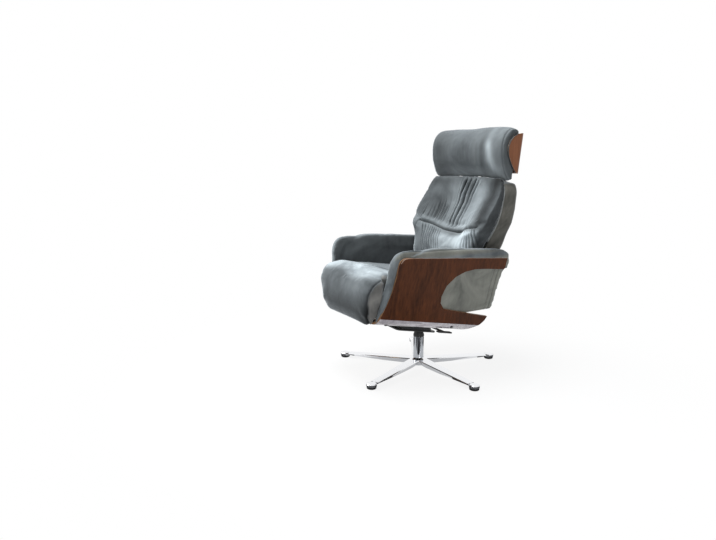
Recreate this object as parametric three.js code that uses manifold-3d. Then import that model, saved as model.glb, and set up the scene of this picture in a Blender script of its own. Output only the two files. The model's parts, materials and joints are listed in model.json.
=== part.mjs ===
// Swivel recliner on a five-arm star base, with bent walnut sides and velvet cushions.
// Millimetres, +Z up. The sitter faces -Y, and +X is the sitter's left.
// The origin lies on the floor, in the middle of the chair's plan.
import * as THREE from 'three';
import { mergeVertices } from 'three/addons/utils/BufferGeometryUtils.js';
import Module from 'manifold-3d';

const wasm = await Module();
wasm.setup();

// Shared fits
const gap = 0.3;
const overrun = 30;
const degree = Math.PI / 180;

// Star base
const armCount = 5;
const footRadius = 350;
const firstFootAngle = 5 * degree;
const footDiameter = 43;
const footTop = 22;
const footEdge = 3;
const glideDiameter = 40;
const glideHeight = 8;
const glideStemDiameter = 8;
const glideStemLength = 8;
const glideEdge = 2;
const armRootWidth = 52;
const armTipWidth = 36;
const armRootTop = 37;
const armRootDepth = 24;
const armTipDepth = 9;
const armFlat = 3;
const hubDiameter = 92;
const hubTop = 38;
const hubBottom = 11;
const hubEdge = 8;
const hubFloor = 5;

// Column and swivel
const tubeDiameter = 46;
const tubeWall = 2.5;
const tubeFloor = 6;
const tubeTop = 137;
const columnBoltDiameter = 10;
const columnBoltHeadDiameter = 26;
const columnBoltHeadHeight = 7;
const columnBoltLength = 22;
const spindleDiameter = 26;
const washerThickness = 4;
const lowerBushHeight = 22;
const lowerBushRise = 18;
const upperBushHeight = 34;
const collarFoot = 48;
const collarNeck = 31;
const collarHeight = 29;

// Seat frame, all tilted back with the seat
const seatTilt = 11 * degree;
const plateHeight = 170;
const plateFront = 160;
const plateRear = 45;
const plateWidth = 136;
const plateThickness = 6;
const plateCorner = 18;
const housingFront = 140;
const housingRear = 30;
const housingWidth = 120;
const housingDraft = 8;
const flangeRise = 42;
const plyThickness = 10;
const crossMemberDepth = 20;
const crossMemberLength = 50;
const crossMemberWall = 4;
const frontMemberPlace = 150;
const rearMemberPlace = 5;
const railThickness = 18;
const railSpacing = 278;
const railFront = 310;
const railFrontDepth = 36;
const railRearDepth = 84;
const deckThickness = 12;
const deckWidth = 382;
const deckNose = 24;
const deckNoseRadius = 16;
const hingeForeAft = 128;
const hingeHeight = 300;
const hingeEye = 22;

// Walnut sides
const sideFlare = 12 * degree;
const sideBaseWidth = 440;
const sideBaseHeight = 300;
const sideBend = 54;
const flangeReach = 108;
const shellFront = -345;
const shellRear = 258;
const shellFoot = 150;
const shellTop = 545;
const shellFrontDrop = 3;
const shellRearDrop = 38;
const shellCorner = 46;
const shellLip = 9;

// Arm pads
const padFront = -316;
const padRear = 273;
const padFoot = 260;
const padTop = 572;
const padThickness = 46;
const padRim = 24;
const padProud = 8;
const padCrown = 5;
const padInnerWidth = 392;
const padRearWidth = 400;

// Seat cushion
const seatFront = -390;
const seatRear = 97;
const seatFoot = 262;
const seatTop = 474;
const seatWidth = 466;
const seatWaist = 390;
const seatWaistPlace = -322;
const seatCrown = 10;
const seatEdge = 16;
const seatLift = 14;
const seatChannel = 5;
const seatChannelPlace = -265;

// Back
const backFoot = 345;
const backTop = 830;
const backRearTop = 330;
const backRearFoot = 226;
const backLipTop = 246;
const backLipFoot = 108;
const backWidth = 506;
const backFootWidth = 380;
const backCorner = 34;
const backRearCrown = 8;
const panWall = 12;
const backPadFoot = 400;
const backPadTop = 836;
const backPadGusset = 58;
const backPadCrown = 32;
const backPadSideDraw = 6;
const backPleatDepth = 7;
const backPleatPitch = 46;
const backSeamDepth = 9;
const backSeamHeight = 655;
const backSeamDrop = 32;
const backBarWidth = 26;
const backBarThickness = 8;
const hingePinDiameter = 12;
const hingePinHead = 22;
const hingePinHeadHeight = 4;
const torqueTubeDiameter = 24;
const runningClearance = 0.5;
const crankLength = 63;
const crankThickness = 5;
const crankSpacing = 20;
const crankEye = 13;
const springPinDiameter = 8;

// Gas spring
const springAnchorPlace = -137;
const springDiameter = 22;
const springBore = 9;
const springBodyLength = 138;
const springRodDiameter = 8;
const springRodLength = 141;
const springNeck = 14;
const springStroke = 42;
const springEyeWidth = 12;
const springEyeBore = 13;
const bracketThickness = 4;

// Lever
const leverPlace = 0;
const leverRise = 29;
const leverShaftDiameter = 9;
const leverReach = 186;
const leverRoot = 46;
const paddleLength = 72;
const paddleWidth = 22;
const paddleThickness = 5;

// Headrest
const headFront = 212;
const headRear = 310;
const headFoot = 843;
const headTop = 1039;
const headEdge = 20;
const headFrontCrown = 10;
const headPlyThickness = 9;
const headPlyWidth = 514;
const headPlyFoot = 851;
const headPlyTop = 1013;
const headPlyRear = 329;
const headPlyLean = 7 * degree;
const headPlyBend = 24;
const wingReach = 78;
const axleForeAft = 296;
const axleHeight = 905;
const axleDiameter = 12;
const axleLength = 150;
const postDiameter = 12;
const postSpacing = 124;
const postLean = 10 * degree;
const postLength = 150;
const guideDiameter = 20;
const guideLength = 84;
const guideTop = 836;
const guideHead = 26;
const guideHeadHeight = 2.5;
const guidePlateHeight = 768;
const guidePlateThickness = 8;
const guidePlateFront = 260;
const guidePlateRear = 308;
const postEye = 18;
const headTilt = 9 * degree;
const pocketWidth = 24;
const clampWidth = 26;
const clampHeight = 24;
const clampFront = 11;
const clampPlace = 36;

// Shell bolts
const shellBoltHead = 16;
const shellBoltHeadHeight = 5;
const bendBoltHead = 13;
const bendBoltShank = 6;
const bendBoltLength = 16;
const bendBoltHeadHeight = 4;
const spotDepth = 1;
const frontBendBolt = [-290, -68 * degree];
const rearBendBolt = [29, -46 * degree];
const frontBoltPlace = -278;
const rearBoltPlace = 0;
const shellBoltInset = 128;

// Detail counts
const roundSteps = 24;
const fineSteps = 32;

// Derived places
const tubeBottom = hubBottom + hubFloor + gap;
const tubeBore = tubeDiameter - 2 * tubeWall;
const rearReach = footRadius * Math.sin(firstFootAngle + 2 * Math.PI / armCount) + footDiameter / 2;
const swivelForeAft = (-seatFront - rearReach) / 2;
const leftReach = footRadius * Math.cos(firstFootAngle) + footDiameter / 2;
const rightReach = footDiameter / 2 - footRadius * Math.cos(firstFootAngle + 4 * Math.PI / armCount);
const swivelAcross = (rightReach - leftReach) / 2;

// Materials
function finish(color, roughness, metalness) {
  return new THREE.MeshStandardMaterial({ color, roughness, metalness });
}
const polishedAluminium = finish(0xd5d7da, 0.18, 1.0);
const chrome = finish(0xc9ccd0, 0.08, 1.0);
const blackSteel = finish(0x17181a, 0.45, 0.6);
const blackPlastic = finish(0x1a1b1c, 0.6, 0.0);
const zincSteel = finish(0x9a9da1, 0.35, 0.9);
const nylon = finish(0xd9d6cc, 0.55, 0.0);
const walnut = finish(0x4a2a1c, 0.28, 0.0);
const paleWalnut = finish(0x8a5f46, 0.32, 0.0);
const birchPly = finish(0xc8a67c, 0.6, 0.0);
const velvet = finish(0x6f797c, 0.85, 0.0);
const velvetShade = finish(0x5f6560, 0.88, 0.0);

// Solids and geometries
function toSolid(geometry) {
  const bare = geometry.clone();
  bare.deleteAttribute('normal');
  bare.deleteAttribute('uv');
  const merged = mergeVertices(bare, 1e-3);
  const mesh = new wasm.Mesh({
    numProp: 3,
    vertProperties: new Float32Array(merged.attributes.position.array),
    triVerts: new Uint32Array(merged.index.array),
  });
  return new wasm.Manifold(mesh);
}

function toGeometry(solid) {
  const mesh = solid.getMesh();
  const geometry = new THREE.BufferGeometry();
  geometry.setAttribute('position', new THREE.BufferAttribute(new Float32Array(mesh.vertProperties), 3));
  geometry.setIndex(new THREE.BufferAttribute(new Uint32Array(mesh.triVerts), 1));
  return geometry;
}

function cut(geometry, ...tools) {
  let solid = toSolid(geometry);
  for (const tool of tools) {
    solid = solid.subtract(toSolid(tool));
  }
  return toGeometry(solid);
}

function join(...geometries) {
  let solid = toSolid(geometries[0]);
  for (const geometry of geometries.slice(1)) {
    solid = solid.add(toSolid(geometry));
  }
  return toGeometry(solid);
}

function common(a, b) {
  return toGeometry(toSolid(a).intersect(toSolid(b)));
}

// A skin through rings of equal counts, closed by a fan at each end
function loft(rings) {
  const count = rings[0].length;
  const positions = [];
  for (const ring of rings) {
    for (const point of ring) {
      positions.push(point.x, point.y, point.z);
    }
  }
  const triangles = [];
  for (let r = 0; r + 1 < rings.length; r++) {
    for (let i = 0; i < count; i++) {
      const a = r * count + i;
      const b = r * count + (i + 1) % count;
      triangles.push(a, b, b + count, a, b + count, a + count);
    }
  }
  const ends = [[rings[0], 0, false], [rings[rings.length - 1], (rings.length - 1) * count, true]];
  for (const [ring, start, last] of ends) {
    const middle = new THREE.Vector3();
    for (const point of ring) {
      middle.addScaledVector(point, 1 / count);
    }
    const hub = positions.length / 3;
    positions.push(middle.x, middle.y, middle.z);
    for (let i = 0; i < count; i++) {
      const a = start + i;
      const b = start + (i + 1) % count;
      triangles.push(...(last ? [hub, a, b] : [hub, b, a]));
    }
  }
  return facingOut(positions, triangles);
}

// Like loft, for outlines that a fan can't fill
function loftFlatEnds(rings, flatten = p => new THREE.Vector2(p.y, p.z)) {
  const count = rings[0].length;
  const positions = rings.flatMap(ring => ring.flatMap(p => [p.x, p.y, p.z]));
  const triangles = [];
  for (let r = 0; r + 1 < rings.length; r++) {
    for (let i = 0; i < count; i++) {
      const a = r * count + i;
      const b = r * count + (i + 1) % count;
      triangles.push(a, b, b + count, a, b + count, a + count);
    }
  }
  const flat = rings[0].map(flatten);
  const last = (rings.length - 1) * count;
  const turn = THREE.ShapeUtils.isClockWise(flat) ? -1 : 1;
  const contour = turn > 0 ? flat : flat.slice().reverse();
  const at = i => (turn > 0 ? i : count - 1 - i);
  for (const [a, b, c] of THREE.ShapeUtils.triangulateShape(contour, [])) {
    const cap = turn > 0 ? [at(a), at(c), at(b)] : [at(a), at(b), at(c)];
    triangles.push(...cap, last + cap[0], last + cap[2], last + cap[1]);
  }
  return facingOut(positions, triangles);
}

function facingOut(positions, triangles) {
  const p = new THREE.Vector3();
  const q = new THREE.Vector3();
  const s = new THREE.Vector3();
  let volume = 0;
  for (let t = 0; t < triangles.length; t += 3) {
    p.fromArray(positions, 3 * triangles[t]);
    q.fromArray(positions, 3 * triangles[t + 1]);
    s.fromArray(positions, 3 * triangles[t + 2]);
    volume += p.dot(q.cross(s));
  }
  if (volume < 0) {
    for (let t = 0; t < triangles.length; t += 3) {
      [triangles[t], triangles[t + 1]] = [triangles[t + 1], triangles[t]];
    }
  }
  const geometry = new THREE.BufferGeometry();
  geometry.setAttribute('position', new THREE.Float32BufferAttribute(positions, 3));
  geometry.setIndex(triangles);
  return geometry;
}

// An outline with rounded corners, from points [a, b, corner radius]
function roundedShape(points) {
  const shape = new THREE.Shape();
  const count = points.length;
  for (let i = 0; i < count; i++) {
    const here = new THREE.Vector2(points[i][0], points[i][1]);
    const before = new THREE.Vector2(...points[(i + count - 1) % count].slice(0, 2)).sub(here);
    const after = new THREE.Vector2(...points[(i + 1) % count].slice(0, 2)).sub(here);
    const radius = points[i][2] || 0;
    if (radius === 0) {
      if (i === 0) shape.moveTo(here.x, here.y);
      else shape.lineTo(here.x, here.y);
      continue;
    }
    const lengthBefore = before.length();
    const lengthAfter = after.length();
    before.normalize();
    after.normalize();
    const turn = Math.acos(THREE.MathUtils.clamp(before.dot(after), -1, 1));
    const reach = Math.min(radius / Math.tan(turn / 2), lengthBefore / 2, lengthAfter / 2);
    const start = here.clone().addScaledVector(before, reach);
    const end = here.clone().addScaledVector(after, reach);
    if (i === 0) shape.moveTo(start.x, start.y);
    else shape.lineTo(start.x, start.y);
    shape.quadraticCurveTo(here.x, here.y, end.x, end.y);
  }
  shape.closePath();
  return shape;
}

function extrude(shape, depth, steps = 6) {
  return new THREE.ExtrudeGeometry(shape, { depth, bevelEnabled: false, curveSegments: steps });
}

// A round bar from one point to another
function bar(from, to, diameter, steps = roundSteps) {
  const geometry = new THREE.CylinderGeometry(diameter / 2, diameter / 2, from.distanceTo(to), steps);
  const along = to.clone().sub(from).normalize();
  const turn = new THREE.Quaternion().setFromUnitVectors(new THREE.Vector3(0, 1, 0), along);
  geometry.applyQuaternion(turn);
  const middle = from.clone().add(to).multiplyScalar(0.5);
  geometry.translate(middle.x, middle.y, middle.z);
  return geometry;
}

function box(x0, x1, y0, y1, z0, z1) {
  const geometry = new THREE.BoxGeometry(x1 - x0, y1 - y0, z1 - z0);
  geometry.translate((x0 + x1) / 2, (y0 + y1) / 2, (z0 + z1) / 2);
  return geometry;
}

// A turned piece about the Z axis, from points [radius, height]
function turned(points, steps = fineSteps) {
  const profile = points.map(([radius, height]) => new THREE.Vector2(radius, height));
  const geometry = new THREE.LatheGeometry(profile, steps);
  geometry.rotateX(Math.PI / 2);
  return outward(geometry);
}

function outward(geometry) {
  const bare = geometry.clone();
  bare.deleteAttribute('normal');
  bare.deleteAttribute('uv');
  const merged = mergeVertices(bare, 1e-3);
  const kept = [];
  const index = merged.index.array;
  for (let t = 0; t < index.length; t += 3) {
    const [a, b, c] = [index[t], index[t + 1], index[t + 2]];
    if (a !== b && b !== c && c !== a) kept.push(a, b, c);
  }
  return facingOut(Array.from(merged.attributes.position.array), kept);
}

// A side outline in Y and Z pushed out along X
function acrossX(shape, x0, x1, steps = 6) {
  const geometry = extrude(shape, x1 - x0, steps);
  const basis = new THREE.Matrix4().makeBasis(
    new THREE.Vector3(0, 1, 0), new THREE.Vector3(0, 0, 1), new THREE.Vector3(1, 0, 0));
  geometry.applyMatrix4(basis);
  geometry.translate(x0, 0, 0);
  return geometry;
}

function mirrored(geometry) {
  const copy = geometry.index ? geometry.clone() : mergeVertices(geometry.clone());
  copy.scale(-1, 1, 1);
  const index = Array.from(copy.index.array);
  for (let t = 0; t < index.length; t += 3) {
    [index[t], index[t + 1]] = [index[t + 1], index[t]];
  }
  copy.setIndex(index);
  return copy;
}

// Points given as shares of a box, in its first and second direction
function fromShares(shares, low, high, foot, top) {
  return shares.map(([a, b]) => [low + a * (high - low), foot + b * (top - foot)]);
}

// The chair, with its swivel axis moved so that the plan is centred
const chair = new THREE.Group();
const swivel = new THREE.Group();
swivel.position.set(swivelAcross, swivelForeAft, 0);
chair.add(swivel);

const seatGroup = new THREE.Group();
seatGroup.position.z = plateHeight;
seatGroup.rotation.x = -seatTilt;
swivel.add(seatGroup);

function add(parent, name, geometry, material) {
  const mesh = new THREE.Mesh(geometry, material);
  mesh.name = name;
  parent.add(mesh);
  return mesh;
}

// From fore-aft and height to a place along and above the tilted plate
function toSlope(foreAft, height) {
  const up = height - plateHeight;
  return [
    foreAft * Math.cos(seatTilt) - up * Math.sin(seatTilt),
    foreAft * Math.sin(seatTilt) + up * Math.cos(seatTilt),
  ];
}

// Star base: one casting of arms, feet and hub
const armStations = [
  { share: 0.08, depthShare: 0.85 },
  { share: 0.2, depthShare: 1.0 },
  { share: 0.45, depthShare: 0.78 },
  { share: 0.72, depthShare: 0.35 },
  { share: 0.94, depthShare: 0.0 },
];

function starArm(angle) {
  const rings = armStations.map(({ share, depthShare }) => {
    const out = share * footRadius;
    const halfWidth = THREE.MathUtils.lerp(armRootWidth, armTipWidth, share) / 2;
    const top = THREE.MathUtils.lerp(armRootTop, footTop - footEdge / 2, share);
    const depth = THREE.MathUtils.lerp(armTipDepth, armRootDepth, depthShare);
    const keel = halfWidth * 0.55;
    const outline = [
      [-halfWidth + armFlat, top], [halfWidth - armFlat, top], [halfWidth, top - armFlat],
      [keel, top - depth], [-keel, top - depth], [-halfWidth, top - armFlat],
    ];
    return outline.map(([across, up]) => new THREE.Vector3(out, across, up));
  });
  const arm = loft(rings);
  arm.rotateZ(angle);
  return arm;
}

function footPad(angle) {
  const pad = turned([
    [0, glideHeight + gap],
    [footDiameter / 2 - footEdge / 2, glideHeight + gap],
    [footDiameter / 2, glideHeight + gap + footEdge / 2],
    [footDiameter / 2, footTop - footEdge],
    [footDiameter / 2 - footEdge, footTop],
    [0, footTop],
  ], roundSteps * 5 / 6);
  pad.translate(footRadius, 0, 0);
  pad.rotateZ(angle);
  return pad;
}

function footBore(angle) {
  const top = glideHeight + glideStemLength + gap;
  const bore = bar(
    new THREE.Vector3(footRadius, 0, 0), new THREE.Vector3(footRadius, 0, top),
    glideStemDiameter + 2 * gap, roundSteps / 2);
  bore.rotateZ(angle);
  return bore;
}

const footAngles = [];
for (let i = 0; i < armCount; i++) {
  footAngles.push(firstFootAngle + i * 2 * Math.PI / armCount);
}

const hubRadius = hubDiameter / 2;
const hub = turned([
  [0, hubBottom],
  [hubRadius - hubEdge / 2, hubBottom],
  [hubRadius, hubBottom + hubEdge / 2],
  [hubRadius, hubTop - hubEdge],
  [hubRadius - hubEdge, hubTop - hubEdge / 4],
  [tubeDiameter / 2 + hubEdge, hubTop + hubEdge / 8],
  [tubeDiameter / 2 + hubEdge / 2, hubTop + hubEdge / 2],
  [0, hubTop + hubEdge / 2],
]);
const tubeSocket = bar(
  new THREE.Vector3(0, 0, hubBottom + hubFloor), new THREE.Vector3(0, 0, hubTop + overrun),
  tubeDiameter + 2 * gap, fineSteps);
const boltBore = bar(
  new THREE.Vector3(0, 0, -overrun), new THREE.Vector3(0, 0, hubTop),
  columnBoltDiameter + 2 * gap, roundSteps);
const starBase = cut(
  join(hub, ...footAngles.map(starArm), ...footAngles.map(footPad)),
  tubeSocket, boltBore, ...footAngles.map(footBore));
add(swivel, 'star_base', starBase, polishedAluminium);

const glide = turned([
  [0, 0],
  [glideDiameter / 2 - glideEdge, 0],
  [glideDiameter / 2, glideEdge],
  [glideDiameter / 2, glideHeight],
  [glideStemDiameter / 2, glideHeight],
  [glideStemDiameter / 2, glideHeight + glideStemLength],
  [0, glideHeight + glideStemLength],
], roundSteps * 2 / 3);
footAngles.forEach((angle, i) => {
  const mesh = add(swivel, `glide_${i + 1}`, glide, blackPlastic);
  mesh.position.set(footRadius * Math.cos(angle), footRadius * Math.sin(angle), 0);
  mesh.rotation.z = angle;
});

// Column: chrome tube bolted up into the hub, with bushes for the spindle
const tubeRadius = tubeDiameter / 2;
const boreRadius = tubeBore / 2;
const boltRadius = columnBoltDiameter / 2;
add(swivel, 'column_tube', turned([
  [boltRadius + gap, tubeBottom],
  [tubeRadius, tubeBottom],
  [tubeRadius, tubeTop],
  [boreRadius, tubeTop],
  [boreRadius, tubeBottom + tubeFloor],
  [boltRadius + gap, tubeBottom + tubeFloor],
  [boltRadius + gap, tubeBottom],
]), chrome);

const boltHeadTop = hubBottom - gap;
const boltTop = boltHeadTop + columnBoltLength - columnBoltHeadHeight;
add(swivel, 'column_bolt', turned([
  [0, boltHeadTop - columnBoltHeadHeight],
  [columnBoltHeadDiameter / 2, boltHeadTop - columnBoltHeadHeight],
  [columnBoltHeadDiameter / 2, boltHeadTop],
  [boltRadius, boltHeadTop],
  [boltRadius, boltTop],
  [0, boltTop],
], roundSteps), zincSteel);

const washerFoot = Math.max(tubeBottom + tubeFloor, boltTop) + gap;
const washerTop = washerFoot + washerThickness;
add(swivel, 'thrust_washer', turned([
  [0, washerFoot],
  [boreRadius - gap, washerFoot],
  [boreRadius - gap, washerTop],
  [0, washerTop],
], roundSteps), nylon);

function bushProfile(foot, height) {
  const inner = spindleDiameter / 2 + gap;
  const outer = boreRadius - gap;
  return [[inner, foot], [outer, foot], [outer, foot + height], [inner, foot + height], [inner, foot]];
}
add(swivel, 'lower_bush', turned(bushProfile(washerTop + lowerBushRise, lowerBushHeight), roundSteps), nylon);
add(swivel, 'upper_bush', turned(bushProfile(tubeTop - upperBushHeight, upperBushHeight), roundSteps), nylon);

// Swivel spindle, sloped on top to meet the tilted plate
const plateUnderside = acrossX(roundedShape([
  [-plateFront, -gap], [plateFront, -gap], [plateFront, plateFront], [-plateFront, plateFront],
]), -plateWidth, plateWidth);
plateUnderside.rotateX(-seatTilt);
plateUnderside.translate(0, 0, plateHeight);
const spindle = bar(
  new THREE.Vector3(0, 0, washerTop + gap), new THREE.Vector3(0, 0, plateHeight + overrun),
  spindleDiameter, fineSteps);
add(swivel, 'swivel_spindle', cut(spindle, plateUnderside), zincSteel);

const collarFootHeight = tubeTop + 2 * gap;
const collarBore = spindleDiameter / 2 + gap;
const collar = turned([
  [collarBore, collarFootHeight],
  [collarFoot / 2, collarFootHeight],
  [collarFoot / 2, collarFootHeight + collarHeight / 4],
  [collarNeck / 2, collarFootHeight + collarHeight],
  [collarBore, collarFootHeight + collarHeight],
  [collarBore, collarFootHeight],
]);
add(swivel, 'spindle_collar', cut(collar, plateUnderside), blackPlastic);

// Tilted frame under the seat
const platePoints = [
  [-plateWidth / 2, -plateFront, plateCorner], [plateWidth / 2, -plateFront, plateCorner],
  [plateWidth / 2, plateRear, plateCorner], [-plateWidth / 2, plateRear, plateCorner],
];
add(seatGroup, 'mechanism_plate', extrude(roundedShape(platePoints), plateThickness, 5), blackSteel);

const housingTop = flangeRise + plyThickness;
function housingRing(rise, inset) {
  const half = housingWidth / 2 - inset;
  const corners = [
    [-half, -housingFront + inset, plateCorner], [half, -housingFront + inset, plateCorner],
    [half, housingRear - inset, plateCorner], [-half, housingRear - inset, plateCorner],
  ];
  return roundedShape(corners).getPoints(4).slice(0, -1).map(p => new THREE.Vector3(p.x, p.y, rise));
}
const leverBore = bar(
  new THREE.Vector3(leverRoot - gap, leverPlace, leverRise),
  new THREE.Vector3(housingWidth, leverPlace, leverRise),
  leverShaftDiameter + 2 * runningClearance, roundSteps);
const housing = loft([
  housingRing(plateThickness + gap, 0),
  housingRing(housingTop, housingDraft),
]);
add(seatGroup, 'mechanism_housing', cut(housing, leverBore), blackSteel);

const railInner = railSpacing / 2 - railThickness / 2;
const memberFoot = housingTop + gap;
const memberTop = memberFoot + crossMemberDepth;
function crossMember(place) {
  const half = crossMemberLength / 2;
  const wall = crossMemberWall;
  const section = roundedShape([
    [place - half, memberFoot], [place - half + wall, memberFoot],
    [place - half + wall, memberTop - wall], [place + half - wall, memberTop - wall],
    [place + half - wall, memberFoot], [place + half, memberFoot],
    [place + half, memberTop], [place - half, memberTop],
  ]);
  return acrossX(section, -railInner + gap, railInner - gap);
}
add(seatGroup, 'front_cross_member', crossMember(-frontMemberPlace), blackSteel);
add(seatGroup, 'rear_cross_member', crossMember(rearMemberPlace), blackSteel);

// Side rails, deepening to the rear and rising to the recline hinge
const [hingeAlong, hingeRise] = toSlope(hingeForeAft, hingeHeight);
const railFoot = housingTop + gap;
const earFront = hingeAlong - hingeEye;
const earRear = hingeAlong + hingeEye;
const deckRear = earFront - gap;
const railShape = roundedShape([
  [-railFront, railFoot, 0],
  [hingeAlong - hingeEye / 2, railFoot, 0],
  [earRear, railFoot + railRearDepth / 2, hingeEye],
  [earRear, hingeRise + hingeEye, hingeEye],
  [earFront, hingeRise + hingeEye, hingeEye],
  [earFront, railFoot + railRearDepth, 0],
  [-railFront, railFoot + railFrontDepth, 0],
]);
const pinBoreInEar = bar(
  new THREE.Vector3(0, hingeAlong, hingeRise), new THREE.Vector3(railSpacing, hingeAlong, hingeRise),
  hingePinDiameter + 2 * gap, roundSteps);
const rail = cut(acrossX(railShape, railInner, railInner + railThickness), pinBoreInEar);
add(seatGroup, 'seat_rail_left', rail, blackSteel);
add(seatGroup, 'seat_rail_right', mirrored(rail), blackSteel);

// Seat deck of bent plywood, its front edge turned down over the rails
const railSlope = (railRearDepth - railFrontDepth) / (earFront + railFront);
function railTopAt(along) {
  return railFoot + railFrontDepth + (along + railFront) * railSlope;
}
const deckFront = -railFront - deckNose;
const deckShape = roundedShape([
  [deckRear, railTopAt(deckRear) + gap, 0],
  [deckRear, railTopAt(deckRear) + gap + deckThickness, 0],
  [deckFront, railTopAt(deckFront) + gap + deckThickness, deckNoseRadius],
  [deckFront, railFoot + railFrontDepth / 4, 0],
  [deckFront + deckThickness, railFoot + railFrontDepth / 4, 0],
  [deckFront + deckThickness, railTopAt(deckFront + deckThickness) + gap, deckNoseRadius - deckThickness],
]);
add(seatGroup, 'seat_deck', acrossX(deckShape, -deckWidth / 2, deckWidth / 2), birchPly);

// The side plane: it leans out by the flare, with local axes along Y, up the side, and out
const sideFrame = new THREE.Matrix4().makeBasis(
  new THREE.Vector3(0, 1, 0),
  new THREE.Vector3(Math.sin(sideFlare), 0, Math.cos(sideFlare)),
  new THREE.Vector3(Math.cos(sideFlare), 0, -Math.sin(sideFlare)));
sideFrame.setPosition(sideBaseWidth / 2, 0, sideBaseHeight);

function upSide(height) {
  return (height - sideBaseHeight) / Math.cos(sideFlare);
}

function sidePrism(points, from, to, steps = 6) {
  const geometry = extrude(roundedShape(points), to - from, steps);
  geometry.translate(0, 0, from);
  geometry.applyMatrix4(sideFrame);
  return geometry;
}

function onSide(shares, low, high, foot, top) {
  return fromShares(shares, low, high, foot, top).map(([a, height]) => [a, upSide(height)]);
}

// Walnut side: a sheet bent under the seat, cut to its outline, with an open notch at the rear
const shellFrontShares = [
  [0.000, 0.324], [0.022, 0.433], [0.043, 0.504], [0.063, 0.585], [0.081, 0.668], [0.100, 0.813],
];
const shellNotchShares = [
  [0.826, 0.803], [0.728, 0.813], [0.643, 0.797], [0.569, 0.752], [0.504, 0.663], [0.476, 0.559],
  [0.478, 0.484], [0.511, 0.415], [0.620, 0.367], [0.760, 0.309],
];
const shellHeelShares = [
  [0.915, 0.248], [0.896, 0.203], [0.862, 0.162], [0.779, 0.111], [0.716, 0.081], [0.655, 0.041],
  [0.610, -0.081],
];
const shellTipShare = 0.775;
const shellBox = [shellFront, shellRear, shellFoot, shellTop];
const shellFrontLine = onSide(shellFrontShares, ...shellBox);
const shellNotchLine = onSide(shellNotchShares, ...shellBox);
const shellHeelLine = onSide(shellHeelShares, ...shellBox);
const shellTopFront = [shellFrontLine[5][0] + shellFrontDrop, upSide(shellTop + shellFrontDrop), shellCorner];
const shellTopRear = [shellRear, upSide(shellTop - shellRearDrop), shellLip];
const shellTipHeight = shellFoot + shellTipShare * (shellTop - shellFoot);
const shellTip = [shellRear - shellLip / 2, upSide(shellTipHeight), shellLip];
const shellOutline = [
  ...shellFrontLine, shellTopFront, shellTopRear, shellTip,
  ...shellNotchLine, ...shellHeelLine, [shellFront, upSide(shellFoot)],
];

function bendAt(foreAft) {
  const foot = plateHeight + flangeRise / Math.cos(seatTilt) - foreAft * Math.tan(seatTilt);
  const cornerX = sideBaseWidth / 2 + (foot - sideBaseHeight) * Math.tan(sideFlare);
  const inset = sideBend * Math.tan((Math.PI / 2 - sideFlare) / 2);
  return { foot, centreX: cornerX - inset, centreZ: foot + sideBend };
}

function sheetSection(foreAft) {
  const { foot, centreX, centreZ } = bendAt(foreAft);
  const flangeDepth = plyThickness / Math.cos(seatTilt);
  const top = padTop + overrun;
  const outer = [[flangeReach, foot]];
  const inner = [[flangeReach, foot + flangeDepth]];
  const bendSteps = 6;
  for (let i = 0; i <= bendSteps; i++) {
    const angle = -Math.PI / 2 + (Math.PI / 2 - sideFlare) * i / bendSteps;
    outer.push([centreX + sideBend * Math.cos(angle), centreZ + sideBend * Math.sin(angle)]);
    const wall = THREE.MathUtils.lerp(flangeDepth, plyThickness, i / bendSteps);
    const bendInner = sideBend - wall;
    inner.push([centreX + bendInner * Math.cos(angle), centreZ + bendInner * Math.sin(angle)]);
  }
  const sideX = sideBaseWidth / 2 + (top - sideBaseHeight) * Math.tan(sideFlare);
  outer.push([sideX, top]);
  inner.push([sideX - plyThickness / Math.cos(sideFlare), top]);
  return [...outer, ...inner.reverse()].map(([x, z]) => new THREE.Vector3(x, foreAft, z));
}

const sheet = loftFlatEnds(
  [sheetSection(shellFront - overrun), sheetSection(shellRear + overrun)],
  p => new THREE.Vector2(p.x, p.z));
const boltPlaces = [frontBoltPlace, rearBoltPlace];
function shellBoltBore(along) {
  const bore = bar(
    new THREE.Vector3(shellBoltInset, along, 0),
    new THREE.Vector3(shellBoltInset, along, railFoot),
    shellBoltHead / 2 + 2 * gap, roundSteps / 2);
  bore.rotateX(-seatTilt);
  bore.translate(0, 0, plateHeight);
  return bore;
}

// A place on the outside of the bend, and the direction straight out from it
function onBend([foreAft, angle]) {
  const { centreX, centreZ } = bendAt(foreAft);
  const place = new THREE.Vector3(
    centreX + sideBend * Math.cos(angle), foreAft, centreZ + sideBend * Math.sin(angle));
  const round = new THREE.Vector3(-Math.sin(angle), 0, Math.cos(angle));
  const along = new THREE.Vector3(-Math.tan(seatTilt) * Math.tan(sideFlare), 1, -Math.tan(seatTilt));
  const out = along.cross(round).normalize();
  return { place, out };
}

function outFromBend(spot, from, to, diameter) {
  const { place, out } = onBend(spot);
  return bar(
    place.clone().addScaledVector(out, from), place.clone().addScaledVector(out, to),
    diameter, roundSteps * 2 / 3);
}
const bendSpots = [frontBendBolt, rearBendBolt];
const shell = cut(
  common(sheet, sidePrism(shellOutline, -padTop, overrun, 8)),
  ...boltPlaces.map(shellBoltBore),
  ...bendSpots.map(spot => outFromBend(spot, -spotDepth, overrun, bendBoltHead + 2 * gap)),
  ...bendSpots.map(spot => outFromBend(spot, -overrun, 0, bendBoltShank + 2 * gap)));
add(swivel, 'side_shell_left', shell, walnut);
add(swivel, 'side_shell_right', mirrored(shell), walnut);

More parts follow.
